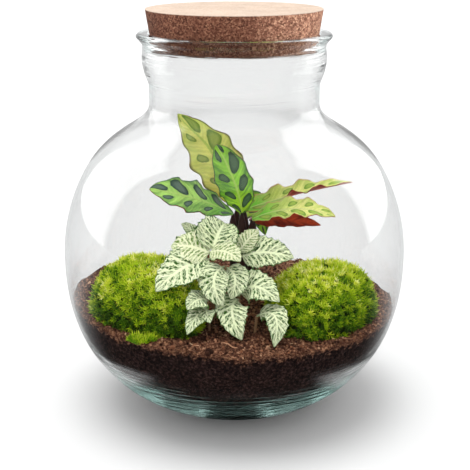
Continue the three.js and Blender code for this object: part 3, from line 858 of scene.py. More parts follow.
# %% Moss shoot
def shoot_template():
    """A star of narrow cones round an upright one, one unit tall."""
    bm = bmesh.new()
    for i in range(SHOOT_LEAVES + 1):
        upright = i == SHOOT_LEAVES
        lean = UPRIGHT_LEAN if upright else draw.uniform(LEAST_LEAN, MOST_LEAN)
        length = 1.0 if upright else draw.uniform(0.62, 0.85)
        turn = i * 2 * math.pi / SHOOT_LEAVES + draw.uniform(-0.25, 0.25)
        outwards = Matrix.Rotation(turn, 4, "Z") @ Matrix.Rotation(lean, 4, "Y")
        place = outwards @ Matrix.Translation((0, 0, length / 2))
        bmesh.ops.create_cone(bm, depth=length, matrix=place, **SHOOT_CONE)
    # Painted light: a point's shade grows with its distance from the base, so each shoot is lighter at its
    # tips.
    return template_mesh("moss_shoot", bm, lambda point: min(point.length, 1))


# %% Spots on a dome
def face_spots(bm, spacing):
    """Random spots on a bmesh, one to a square of the spacing, each with its face's normal.

    A sphere's faces come in another order in every run, so they are sorted by their corners' numbers.
    """
    bm.verts.index_update()
    in_order = sorted(bm.faces, key=lambda face: sorted(vert.index for vert in face.verts))
    for face in in_order:
        numbers = [vert.index for vert in face.verts]
        first = numbers.index(min(numbers))
        corners = [face.verts[(first + i) % len(numbers)].co for i in range(len(numbers))]
        for _ in range(int(face.calc_area() / spacing**2 + draw.random())):
            a, b = sorted((draw.random(), draw.random()))
            along = corners[0].lerp(corners[1], a)
            opposite = corners[-1].lerp(corners[-2], a) if len(corners) > 3 else corners[2]
            yield along.lerp(opposite, b), face.normal.copy()


# %% Moss material
moss, tree, shader = new_material("moss", 0.62, specular=0.3)
moss_colours = [
    (0.0, screen_colour(20, 36, 4)),
    (0.3, screen_colour(94, 142, 12)),
    (0.55, screen_colour(182, 208, 24)),
    (0.8, screen_colour(230, 232, 80)),
    (1.0, screen_colour(250, 250, 170)),
]
moss_colour = colour_ramp(tree, read_attribute(tree, "shade"), moss_colours)
connect(tree, shader, mottled(tree, moss_colour, scale=160.0, amount=0.1)["Colour"])

# %% [markdown]
# ### Growing the cushions
#
# A shoot's shade goes up with its height on the dome and towards the plants: painted light where the
# light falls, and painted shade low down. Broad noise makes whole patches lighter or darker, and each
# shoot differs a little from the next. The shoots stand in tufts: a Voronoi cell is a tuft, higher in
# its middle and painted lighter there, with painted shade in the gaps between tufts, and its shoots lean
# away from there. A few stray tufts have crept off each cushion over the soil in front of it.

# %% Moss shades
SHADE_LOWEST, SHADE_SPREAD = 0.09, 0.15
SHADE_OF_HEIGHT, SHADE_OF_INSIDE, SHADE_OF_TUFT = 0.38, 0.25, 0.38
PATCH_SCALE, PATCH_SHADE = 70, 0.2
SPOT_SCALE, SPOT_SHADE = 260, 0.18
CORE_SHADE = 0.08
OWN_SHADE = 0.5


def moss_shade(cushion, spot, in_tuft):
    """How light a shoot is, about 0 to 1, with a random part."""
    height = (spot.z - soil_height(*cushion["centre"])) / cushion["height"]
    inner = 1 - math.hypot(spot.x, spot.y) / BODY_RADIUS
    # Painted light and shade: lighter high on the dome, towards the plants and in the middle of a tuft.
    place = SHADE_OF_HEIGHT * height + SHADE_OF_INSIDE * inner + SHADE_OF_TUFT * in_tuft
    patches = noise.noise(spot * PATCH_SCALE) * PATCH_SHADE + noise.noise(spot * SPOT_SCALE) * SPOT_SHADE
    return SHADE_LOWEST + place + patches + draw.gauss(0, SHADE_SPREAD)


# %% Shoots in their places
TUFT_REACH, TUFT_LEAN = 0.62, 0.9
SHOOT_LIFT, SHOOT_WOBBLE, SHOOT_SUNK = 0.45, 0.3, 0.0006
BURIED, LOWEST_NORMAL = 0.0005, -0.2
STRAY_RADIUS, STRAY_SHOOTS, STRAY_LEAN = 0.0042, 34, 150


def shoot_copy(spot, direction, shade):
    """A matrix and a shade for one shoot."""
    length = SHOOT_LENGTH * draw.uniform(0.75, 1.25)
    return aimed(spot, direction, draw.uniform(0, 6.28), (length,) * 3), shade


def dome_shoots(bm, cushion):
    """Copies of the shoot for a whole cushion."""
    for spot, normal in face_spots(bm, SHOOT_SPACING):
        if spot.z < soil_height(spot.x, spot.y) - BURIED or normal.z < LOWEST_NORMAL:
            continue
        distances, centres = noise.voronoi(spot / TUFT_SIZE)
        in_tuft = max(1 - distances[0] / TUFT_REACH, 0)
        outwards = (spot / TUFT_SIZE - centres[0]) * TUFT_LEAN
        wobble = random_direction() * SHOOT_WOBBLE
        direction = (normal + UPWARDS * SHOOT_LIFT + outwards + wobble).normalized()
        spot = spot + normal * (TUFT_RISE * in_tuft)
        tip = spot + direction * SHOOT_LENGTH
        if math.hypot(tip.x, tip.y) > inner_wall_radius(tip.z) - MOSS_GLASS_GAP:
            continue
        shade = moss_shade(cushion, spot, in_tuft)
        yield shoot_copy(spot - direction * SHOOT_SUNK, direction, shade)


def stray_shoots(places):
    """Copies of the shoot for small tufts on the soil."""
    for centre in places:
        for _ in range(STRAY_SHOOTS):
            radius, turn = STRAY_RADIUS * math.sqrt(draw.random()), draw.uniform(0, 2 * math.pi)
            away_x, away_y = radius * math.cos(turn), radius * math.sin(turn)
            x, y = centre[0] + away_x, centre[1] + away_y
            direction = Vector((away_x * STRAY_LEAN, away_y * STRAY_LEAN, 1)).normalized()
            spot = Vector((x, y, soil_height(x, y)))
            yield shoot_copy(spot, direction, draw.uniform(0.25, 0.65))


# %% Moss cushions
shoot = shoot_template()
for cushion in CUSHIONS:
    dome = moss_dome(cushion)
    growth = bmesh.new()
    core = template_mesh(cushion["node"] + "_core", dome.copy(), lambda point: 0.5)
    scatter(growth, core, [(Matrix.Identity(4), CORE_SHADE)], own_share=0)
    scatter(growth, shoot, dome_shoots(dome, cushion), OWN_SHADE)
    scatter(growth, shoot, stray_shoots(cushion["strays"]), OWN_SHADE)
    dome.free()
    side = cushion["node"].rsplit("_", 1)[1]
    add_piece(f"moss_shoots_{side}", growth, [moss], [cushion["node"]], smooth=False)

# %% [markdown]
# ## Leaf blades
#
# Both plants' leaves are blades round a midrib. A flat grid is the natural start: one direction of it
# runs along the midrib, and the other across the blade. Its points are moved to where the formulas
# put them, and `solidify` gives the sheet its two faces and its edge. The grid's two directions become
# the UV map, so a pattern can follow the leaf however it bends.
#
# A leaf may turn as it leaves its stalk: its face goes from `faces` to `faces_end` over the first part
# of the midrib, and its fold grows over the same part. The edge is waved, rippled, scalloped or toothed
# as the kind of plant asks.


# %% Midrib
def midrib(leaf, along):
    """Point and heading of the midrib, a curve through the leaf's base, middle and tip."""
    base, middle, tip = (Vector(leaf[key]) for key in ("base", "middle", "tip"))
    control = 2 * middle - (base + tip) / 2
    point = base * (1 - along) ** 2 + control * 2 * along * (1 - along) + tip * along**2
    heading = (control - base) * (1 - along) + (tip - control) * along
    return point, heading.normalized()


# %% Blade shape
TWIST_SHARE = 0.45
FOLD_START = 0.3
RIB_TAPER = 0.85
RIPPLE_PACE = 2.7


def leaf_outline(blade, peak, fullness):
    """Share of the full half width along a blade: 0 at both ends and 1 at the peak."""
    blade = min(blade, 1)
    return ((blade / peak) ** peak * ((1 - blade) / (1 - peak)) ** (1 - peak)) ** fullness


def blade_point(leaf, kind, along, across):
    """Where a point of the flat grid lies on the leaf: along it from 0 to 1, across it from -1 to 1."""
    point, heading = midrib(leaf, along)
    turned = min(along / TWIST_SHARE, 1)
    faces_start = Vector(leaf["faces"]).normalized()
    faces_end = Vector(leaf.get("faces_end", leaf["faces"])).normalized()
    side = heading.cross(faces_start.lerp(faces_end, turned)).normalized()
    up = side.cross(heading).normalized()
    blade = max(along - kind["bare"], 0) / (1 - kind["bare"])
    shape = leaf_outline(blade, leaf.get("peak", kind["peak"]), leaf.get("fullness", kind["fullness"]))
    half = leaf["width"] / 2 * shape + kind["stalk"] / 2 * (1 - RIB_TAPER * along)
    edge = abs(across)
    shift = kind["shift"] if across < 0 else 0
    phase = 2 * math.pi * kind["waves"] * blade + shift + leaf.get("phase", 0)
    fade = math.sin(math.pi * min(blade, 1)) * leaf.get("flat", 1)
    fold = leaf.get("fold", kind["fold"]) * (FOLD_START + (1 - FOLD_START) * turned)
    rise = fold * edge * half + kind["wave"] * fade * edge**2 * math.sin(phase)
    ripple = kind["ripple"] * fade * edge**3 * math.sin(RIPPLE_PACE * phase + across)
    teeth = kind["teeth"] * edge**4 * abs(math.sin(math.pi * kind["tooth_count"] * blade))
    scallop = leaf.get("scallop", kind["scallop"]) * fade * edge * math.cos(phase)
    reach = across * half * (1 + scallop - teeth)
    return point + side * reach + up * (rise + ripple + kind["thickness"] / 2)


# %% Blade
def add_blade(bm, leaf, kind, upper, under):
    """Adds a leaf blade to bm. upper and under are the material numbers of its two faces."""
    uv = bm.loops.layers.uv.get("UVMap") or bm.loops.layers.uv.new("UVMap")
    size = dict(x_segments=kind["rows"], y_segments=kind["columns"], size=0.5)
    grid = bmesh.ops.create_grid(bm, **size)["verts"]
    faces = each_once(face for vert in grid for face in vert.link_faces)
    for face in faces:
        face.material_index = upper
        for loop in face.loops:
            loop[uv].uv = (loop.vert.co.x + 0.5, loop.vert.co.y + 0.5)
    for vert in grid:
        vert.co = blade_point(leaf, kind, vert.co.x + 0.5, -2 * vert.co.y)
    bm.normal_update()
    old_faces = set(bm.faces)
    bmesh.ops.solidify(bm, geom=faces, thickness=kind["thickness"])
    for face in bm.faces:
        if face not in old_faces:
            face.material_index = under


# %% [markdown]
# ### Patterns that follow a leaf
#
# Both plants' patterns are worked out from the UV map, with the same first steps: where a point lies
# along the midrib, how far out it is, and on which side. Noise makes the straight lines wander.


# %% Leaf places
def leaf_places(tree):
    """The place on the UV map, its two parts, how far out it is, and 1 if it is on the second side.

    The parts run from 0 to 1 along and across the blade, and how far out from 0 at the midrib to 1.
    """
    uv = add_node(tree, "ShaderNodeUVMap", uv_map="UVMap").outputs["UV"]
    axes = axes_of(tree, uv)
    along, across = axes["X"], axes["Y"]
    from_midrib = calculate(tree, "ABSOLUTE", calculate(tree, "SUBTRACT", across, 0.5))
    side = calculate(tree, "MULTIPLY", from_midrib, 2.0)
    return uv, along, across, side, calculate(tree, "GREATER_THAN", across, 0.5)


def wandering(tree, place, scale, amount):
    """Soft noise on both sides of 0."""
    spread = calculate(tree, "SUBTRACT", noise_at(tree, place, scale, detail=2.0), 0.5)
    return calculate(tree, "MULTIPLY", spread, amount)


def stretched_place(tree, x, x_scale, y, y_scale):
    """A place made of two numbers, each with its own scale."""
    scaled = {"X": calculate(tree, "MULTIPLY", x, x_scale), "Y": calculate(tree, "MULTIPLY", y, y_scale)}
    return add_node(tree, "ShaderNodeCombineXYZ", scaled).outputs["Vector"]


# %% [markdown]
# ## The prayer plant
#
# Long blades with waved edges, each on its own dark stalk. The upper face is lime green with ovals in
# two rows beside the midrib, dark at their rims and paler inside, and with darker streaks along the
# side veins. The underside is wine red, and shows where a blade folds or turns over.
#
# Moving along the midrib, the UV map is cut into equal cells, each leaning towards the tip as a side
# vein does. An ellipse in each cell is one mark, of its own size. The group gives out only masks, each
# of which fades between the two values of its edge, and each material picks its own colours.

# %% Leaf marks group
OVAL_LEAN, OVAL_SHIFT = 0.7, 0.45
OVAL_CENTRE, OVAL_WIDTH, OVAL_REACH = 0.46, 0.34, 0.37
OVAL_SIZE_SPREAD, OVAL_SMALLEST = 0.3, 0.85
SECOND_SIDE_SEED = 37.0
STREAK_SCALE_ALONG, STREAK_SCALE_ACROSS, STREAK_OF_EDGE = 5.0, 2.2, 0.22
VEINS_IN_CELL = 5
OVAL_EDGE, HEART_EDGE = (1.06, 0.92), (0.95, 0.4)
STREAK_EDGE, FAR_EDGE = (0.48, 0.82), (0.12, 0.5)
MIDRIB_EDGE, MARGIN_EDGE = (0.085, 0.03), (0.88, 0.98)

marks, given, result = new_group(
    "Leaf marks",
    [("Pairs", "NodeSocketFloat", 4.0), ("Small side", "NodeSocketFloat", 0.8)],
    [
        ("Oval", "NodeSocketFloat"),
        ("Oval heart", "NodeSocketFloat"),
        ("Streaks", "NodeSocketFloat"),
        ("Midrib", "NodeSocketFloat"),
        ("Margin", "NodeSocketFloat"),
        ("Side veins", "NodeSocketFloat"),
        ("Far part", "NodeSocketFloat"),
    ],
)

# %% Ovals
uv, along, across, side, second_side = leaf_places(marks)
wander = wandering(marks, uv, scale=5.0, amount=0.24)
offset = calculate(marks, "MULTIPLY", second_side, OVAL_SHIFT)
cells = calculate(marks, "MULTIPLY_ADD", along, given["Pairs"], offset)
leaned = calculate(marks, "SUBTRACT", cells, calculate(marks, "MULTIPLY", side, OVAL_LEAN))
leaned = calculate(marks, "ADD", leaned, wander)
in_cell = calculate(marks, "SUBTRACT", calculate(marks, "FRACT", leaned), 0.5)
wide = calculate(marks, "DIVIDE", in_cell, OVAL_WIDTH)
out = calculate(marks, "DIVIDE", calculate(marks, "SUBTRACT", side, OVAL_CENTRE), OVAL_REACH)
squares = calculate(marks, "MULTIPLY_ADD", wide, wide, calculate(marks, "MULTIPLY", out, out))
cell = calculate(marks, "MULTIPLY_ADD", second_side, SECOND_SIDE_SEED, calculate(marks, "FLOOR", leaned))
chance = add_node(marks, "ShaderNodeTexWhiteNoise", {"W": cell}, noise_dimensions="1D").outputs["Value"]
size = calculate(marks, "MULTIPLY_ADD", chance, OVAL_SIZE_SPREAD, OVAL_SMALLEST)
smaller = calculate(marks, "SUBTRACT", given["Small side"], 1.0)
smaller = calculate(marks, "MULTIPLY_ADD", second_side, smaller, 1.0)
distance = calculate(marks, "SQRT", squares)
distance = calculate(marks, "DIVIDE", distance, calculate(marks, "MULTIPLY", size, smaller))
marks.links.new(step_between(marks, distance, *OVAL_EDGE), result["Oval"])
marks.links.new(step_between(marks, distance, *HEART_EDGE), result["Oval heart"])

# %% Streaks, ribs and margin
streak_place = stretched_place(marks, leaned, STREAK_SCALE_ALONG, across, STREAK_SCALE_ACROSS)
streaks = noise_at(marks, streak_place, scale=1.0, detail=3.0)
streaks = calculate(marks, "MULTIPLY_ADD", side, STREAK_OF_EDGE, streaks)
marks.links.new(step_between(marks, streaks, *STREAK_EDGE), result["Streaks"])
marks.links.new(step_between(marks, calculate(marks, "ADD", along, wander), *FAR_EDGE), result["Far part"])
marks.links.new(step_between(marks, side, *MIDRIB_EDGE), result["Midrib"])
marks.links.new(step_between(marks, side, *MARGIN_EDGE), result["Margin"])
veins = calculate(marks, "SINE", calculate(marks, "MULTIPLY", leaned, 2 * math.pi * VEINS_IN_CELL))
marks.links.new(calculate(marks, "MULTIPLY_ADD", veins, 0.5, 0.5), result["Side veins"])


# %% Upper faces of the prayer plant
SUBSURFACE_SCALE = 0.001
STREAK_SHARE, SIDE_VEIN_SHARE, RIB_SHARE = 0.75, 0.12, 0.7
SIDE_VEIN_RELIEF = 0.5


def let_light_in(shader, weight, radius):
    """Lets light into a thin leaf and out again beside, with its own radius for red, green and blue."""
    shader.inputs["Subsurface Weight"].default_value = weight
    shader.inputs["Subsurface Radius"].default_value = radius
    shader.inputs["Subsurface Scale"].default_value = SUBSURFACE_SCALE


def prayer_material(name, near, far, shaded, oval, heart, margin, rib, pairs, small_side=0.8):
    """The upper face of a prayer-plant leaf: one colour near the stalk, another towards the tip."""
    material, tree, shader = new_material(name, 0.36, specular=0.45)
    let_light_in(shader, weight=0.12, radius=(0.4, 0.8, 0.1))
    sockets = {"Pairs": pairs, "Small side": small_side}
    drawn = add_node(tree, "ShaderNodeGroup", sockets, node_tree=marks).outputs
    ground = mix_colours(tree, drawn["Far part"], near, far)
    ground = mix_colours(tree, calculate(tree, "MULTIPLY", drawn["Streaks"], STREAK_SHARE), ground, shaded)
    ground = mottled(tree, ground, scale=70.0, amount=0.16)["Colour"]
    faint_veins = calculate(tree, "MULTIPLY", drawn["Side veins"], SIDE_VEIN_SHARE)
    veined = mix_colours(tree, faint_veins, ground, oval)
    mark = mix_colours(tree, drawn["Oval heart"], oval, heart)
    marked = mix_colours(tree, drawn["Oval"], veined, mark)
    edged = mix_colours(tree, drawn["Margin"], marked, margin)
    ribbed = mix_colours(tree, calculate(tree, "MULTIPLY", drawn["Midrib"], RIB_SHARE), edged, rib)
    relief = calculate(tree, "MULTIPLY_ADD", drawn["Side veins"], SIDE_VEIN_RELIEF, drawn["Midrib"])
    connect(tree, shader, ribbed, relief, depth=0.0004, strength=0.6)
    return material


# %% Stalks and undersides
def grained(tree, shader, colour, amount=0.16):
    """Puts a mottled colour with a fine grain on a stalk or an underside."""
    spotted = mottled(tree, colour, scale=120.0, amount=amount)
    connect(tree, shader, spotted["Colour"], spotted["Height"], depth=0.0002, strength=0.5)


def plain_plant_material(name, colour, roughness):
    """Stalks and undersides of one colour."""
    material, tree, shader = new_material(name, roughness, specular=0.4)
    grained(tree, shader, colour)
    return material


# %% Green prayer leaves
prayer_green = prayer_material(
    "prayer leaf green",
    near=screen_colour(194, 244, 54),
    far=screen_colour(166, 230, 62),
    shaded=screen_colour(62, 136, 36),
    oval=screen_colour(34, 72, 44),
    heart=screen_colour(80, 112, 78),
    margin=screen_colour(72, 118, 62),
    rib=screen_colour(196, 226, 110),
    pairs=3.8,
)
prayer_left = prayer_material(
    "prayer leaf left",
    near=screen_colour(136, 206, 82),
    far=screen_colour(192, 236, 122),
    shaded=screen_colour(78, 136, 66),
    oval=screen_colour(48, 78, 64),
    heart=screen_colour(106, 128, 114),
    margin=screen_colour(70, 112, 72),
    rib=screen_colour(190, 220, 120),
    pairs=4.2,
    small_side=0.66,
)

# %% Yellow and lime prayer leaves
prayer_yellow = prayer_material(
    "prayer leaf yellow",
    near=screen_colour(246, 252, 118),
    far=screen_colour(250, 255, 140),
    shaded=screen_colour(214, 232, 98),
    oval=screen_colour(120, 160, 52),
    heart=screen_colour(172, 196, 92),
    margin=screen_colour(128, 132, 66),
    rib=screen_colour(176, 216, 84),
    pairs=4.4,
    small_side=0.62,
)
prayer_lime = prayer_material(
    "prayer leaf lime",
    near=screen_colour(132, 230, 70),
    far=screen_colour(255, 255, 158),
    shaded=screen_colour(196, 218, 96),
    oval=screen_colour(124, 168, 54),
    heart=screen_colour(182, 208, 92),
    margin=screen_colour(214, 176, 124),
    rib=screen_colour(232, 236, 160),
    pairs=5.0,
    small_side=0.7,
)

# %% Wine-red undersides and stalks
WINE, DARK_WINE = screen_colour(214, 78, 48), screen_colour(128, 28, 20)

prayer_under, tree, shader = new_material("prayer leaf underside", 0.42, specular=0.4)
streaks = add_node(tree, "ShaderNodeGroup", node_tree=marks).outputs["Streaks"]
grained(tree, shader, mix_colours(tree, streaks, WINE, DARK_WINE), amount=0.2)
prayer_stalk = plain_plant_material("prayer stalk", screen_colour(54, 18, 16), 0.45)

# %% [markdown]
# ### Blades and stalks of the prayer plant
#
# The list repeats the plant's own plan: where each stalk leaves the soil, and the base, middle and tip
# of its midrib. `faces` is the way that the upper face looks, and `peak` says where along it the blade
# is widest. What all its leaves share, such as the waves of their edges, is in `WAVED`.

# %% Prayer plant plan
WAVED = dict(
    rows=72, columns=18, thickness=0.0005, stalk=0.0024, bare=0, peak=0.45, fullness=1.5,
    waves=4.2, shift=2.1, wave=0.0022, ripple=0.0005, fold=0.12, scallop=0.06, teeth=0, tooth_count=0,
)
WAVED_STALK_RADIUS = 0.0017
WAVED_STALK_BEND = 0.028
SHEATH_AT, SHEATH_LENGTH, SHEATH_EXTRA = 0.84, 0.15, 0.0026
TOP_NARROWING, NARROWING_POWER = 0.7, 10
STALK_DEPTH, STALK_RISE = 0.010, 0.0015
PRAYER_LEAVES = [
    dict(node="waved_leaf_tall_back", look=prayer_yellow, root=(0, 0.006), width=0.034, phase=2.6,
         peak=0.5, scallop=0.1, fullness=2.0,
         base=(0.002, 0.005, 0.147), middle=(-0.0145, 0.009, 0.183), tip=(-0.0415, 0.012, 0.2175),
         faces=(-0.25, -0.9, 0.5)),
    dict(node="waved_leaf_tall_front", look=prayer_green, root=(0.006, -0.008), width=0.0245, peak=0.54,
         base=(0.0055, -0.008, 0.147), middle=(0.0005, -0.014, 0.170), tip=(-0.013, -0.015, 0.1975),
         faces=(-0.1, -1, 0.25)),
    dict(node="waved_leaf_left", look=prayer_left, root=(-0.001, -0.003), width=0.024, phase=0.8,
         peak=0.56, fullness=1.8,
         base=(-0.001, -0.007, 0.146), middle=(-0.029, -0.020, 0.161), tip=(-0.0595, -0.031, 0.1705),
         faces=(0.15, -0.7, 0.7)),
    dict(node="waved_leaf_right_upper", look=prayer_lime, root=(0.008, 0.004), width=0.0175, phase=1.6,
         fold=0.6,
         base=(0.0075, 0.002, 0.1465), middle=(0.043, 0.013, 0.1545), tip=(0.089, 0.022, 0.1625),
         faces=(-0.35, -0.8, 0.55), faces_end=(-0.1, -0.12, 1)),
    dict(node="waved_leaf_right_middle", look=prayer_lime, root=(0.012, -0.005), width=0.0165, phase=0.4,
         fold=0.3, scallop=0.1,
         base=(0.013, -0.007, 0.142), middle=(0.043, -0.016, 0.1520), tip=(0.0725, -0.020, 0.1475),
         faces=(-0.05, -0.55, 0.8)),
    dict(node="waved_leaf_right_lower", look=prayer_lime, root=(0.014, 0.002), width=0.017, phase=2.4,
         flat=0.35, peak=0.4,
         base=(0.014, 0.003, 0.139), middle=(0.038, 0.007, 0.1375), tip=(0.065, 0.011, 0.132),
         faces=(0.1, 0.85, 0.5)),
    dict(node="waved_leaf_behind", look=prayer_green, root=(0.006, 0.011), width=0.022, phase=1.1,
         base=(0.008, 0.014, 0.136), middle=(0.017, 0.040, 0.138), tip=(0.025, 0.062, 0.109),
         faces=(0.1, 0.3, 0.9), faces_end=(0.2, -0.9, 0.3)),
]


# %% Prayer plant stalks
def stalk_foot(root):
    """The first points of a stalk, straight up out of the soil."""
    x, y = root
    ground = soil_height(x, y)
    return [(x, y, ground - STALK_DEPTH), (x, y, ground - STALK_DEPTH / 2), (x, y, ground + STALK_RISE)]


def stalk_radius(share):
    """Thickest a little below the blade, where the sheaths of all the stalks press together."""
    sheath = math.exp(-(((share - SHEATH_AT) / SHEATH_LENGTH) ** 2))
    return (WAVED_STALK_RADIUS + SHEATH_EXTRA * sheath) * (1 - TOP_NARROWING * share**NARROWING_POWER)


# %% Prayer plant
for leaf in PRAYER_LEAVES:
    bm = bmesh.new()
    add_blade(bm, leaf, WAVED, upper=0, under=1)
    x, y, z = leaf["base"]
    bend = ((leaf["root"][0] + x) / 2, (leaf["root"][1] + y) / 2, z - WAVED_STALK_BEND)
    path = smooth_line(stalk_foot(leaf["root"]) + [bend, leaf["base"]], steps=7)
    radii = [stalk_radius(i / (len(path) - 1)) for i in range(len(path))]
    add_tube(bm, path, radii, sides=12, material_index=2)
    name = leaf["node"].replace("waved_leaf", "prayer_leaf")
    add_piece(name, bm, [leaf["look"], prayer_under, prayer_stalk], [leaf["node"]])

# %% [markdown]
# ## The nerve plant
#
# Small oval leaves whose veins are drawn in cream over green. The veins leave the midrib in pairs,
# lean towards the tip, and fork before they reach the edge, so the green is left as short strokes.
#
# The same cells as before make the veins, with two additions. Inside a cell, a line at distance zero
# from the middle is a vein. Where the wanted distance grows towards the margin, the one line becomes
# two: that is the fork. And a Voronoi texture, stretched along the veins, ties them into a fine net.

# %% Vein group
VEIN_PAIRS, VEIN_SHIFT = 9.5, 0.4
VEIN_BOW, VEIN_LEAN = 0.8, 2.1
FORK_EDGE, FORK_WIDTH = (0.3, 0.95), 0.26
VEIN_TAPER = -0.45
NET_SCALE_ALONG, NET_SCALE_ACROSS, NET_SHARE = 2.2, 9.0, 0.75
MARGIN_WANDER = 0.3
VEIN_EDGE, NET_EDGE = (1.15, 0.75), (0.15, 0.05)
WHITE_RIB_EDGE, GREEN_MARGIN_EDGE = (0.11, 0.05), (0.93, 0.99)

veins, given, result = new_group(
    "White veins",
    [("Width", "NodeSocketFloat", 0.19)],
    [("Vein", "NodeSocketFloat"), ("Margin", "NodeSocketFloat")],
)

# %% Forked veins
_, along, across, side, second_side = leaf_places(veins)
wander = wandering(veins, object_place(veins), scale=420.0, amount=0.95)
offset = calculate(veins, "MULTIPLY", second_side, VEIN_SHIFT)
cells = calculate(veins, "MULTIPLY_ADD", along, VEIN_PAIRS, offset)
lean = calculate(veins, "MULTIPLY", calculate(veins, "POWER", side, VEIN_BOW), VEIN_LEAN)
leaned = calculate(veins, "ADD", calculate(veins, "SUBTRACT", cells, lean), wander)
in_cell = calculate(veins, "SUBTRACT", calculate(veins, "FRACT", leaned), 0.5)
fork = calculate(veins, "MULTIPLY", step_between(veins, side, *FORK_EDGE), FORK_WIDTH)
from_vein = calculate(veins, "SUBTRACT", calculate(veins, "ABSOLUTE", in_cell), fork)
from_vein = calculate(veins, "ABSOLUTE", from_vein)
width = calculate(veins, "MULTIPLY", given["Width"], calculate(veins, "MULTIPLY_ADD", side, VEIN_TAPER, 1.0))
side_vein = step_between(veins, calculate(veins, "DIVIDE", from_vein, width), *VEIN_EDGE)

# %% Net, rib and margin
net_place = stretched_place(veins, leaned, NET_SCALE_ALONG, across, NET_SCALE_ACROSS)
net = {"Vector": net_place, "Scale": 1.0}
from_net = add_node(veins, "ShaderNodeTexVoronoi", net, feature="DISTANCE_TO_EDGE").outputs["Distance"]
net_line = calculate(veins, "MULTIPLY", step_between(veins, from_net, *NET_EDGE), NET_SHARE)
rib = step_between(veins, side, *WHITE_RIB_EDGE)
ragged_side = calculate(veins, "MULTIPLY_ADD", wander, MARGIN_WANDER, side)
margin = step_between(veins, ragged_side, *GREEN_MARGIN_EDGE)
inside = calculate(veins, "SUBTRACT", 1.0, margin)
between = calculate(veins, "MAXIMUM", side_vein, net_line)
drawn = calculate(veins, "MAXIMUM", calculate(veins, "MULTIPLY", between, inside), rib)
veins.links.new(drawn, result["Vein"])
veins.links.new(margin, result["Margin"])


# %% Nerve leaf materials
def nerve_material(name, green, cream, margin, width):
    """The upper face of a nerve-plant leaf. width is the share of the leaf that its veins take."""
    material, tree, shader = new_material(name, 0.5, specular=0.35)
    let_light_in(shader, weight=0.1, radius=(0.5, 0.8, 0.3))
    drawn = add_node(tree, "ShaderNodeGroup", {"Width": width}, node_tree=veins).outputs
    ground = mottled(tree, green, scale=200.0, amount=0.2)["Colour"]
    edged = mix_colours(tree, drawn["Margin"], ground, margin)
    veined = mix_colours(tree, drawn["Vein"], edged, cream)
    puffed = calculate(tree, "SUBTRACT", 1.0, drawn["Vein"])
    connect(tree, shader, veined, puffed, depth=0.0004, strength=0.7)
    return material


# %% Green and pale nerve leaves
nerve_green = nerve_material(
    "nerve leaf green",
    green=screen_colour(52, 96, 22),
    cream=screen_colour(240, 248, 204),
    margin=screen_colour(48, 100, 34),
    width=0.18,
)
nerve_pale = nerve_material(
    "nerve leaf pale",
    green=screen_colour(104, 142, 48),
    cream=screen_colour(244, 246, 206),
    margin=screen_colour(96, 140, 66),
    width=0.22,
)
nerve_under = plain_plant_material("nerve leaf underside", screen_colour(88, 124, 58), 0.6)
nerve_stalk = plain_plant_material("nerve stem", screen_colour(150, 116, 84), 0.55)

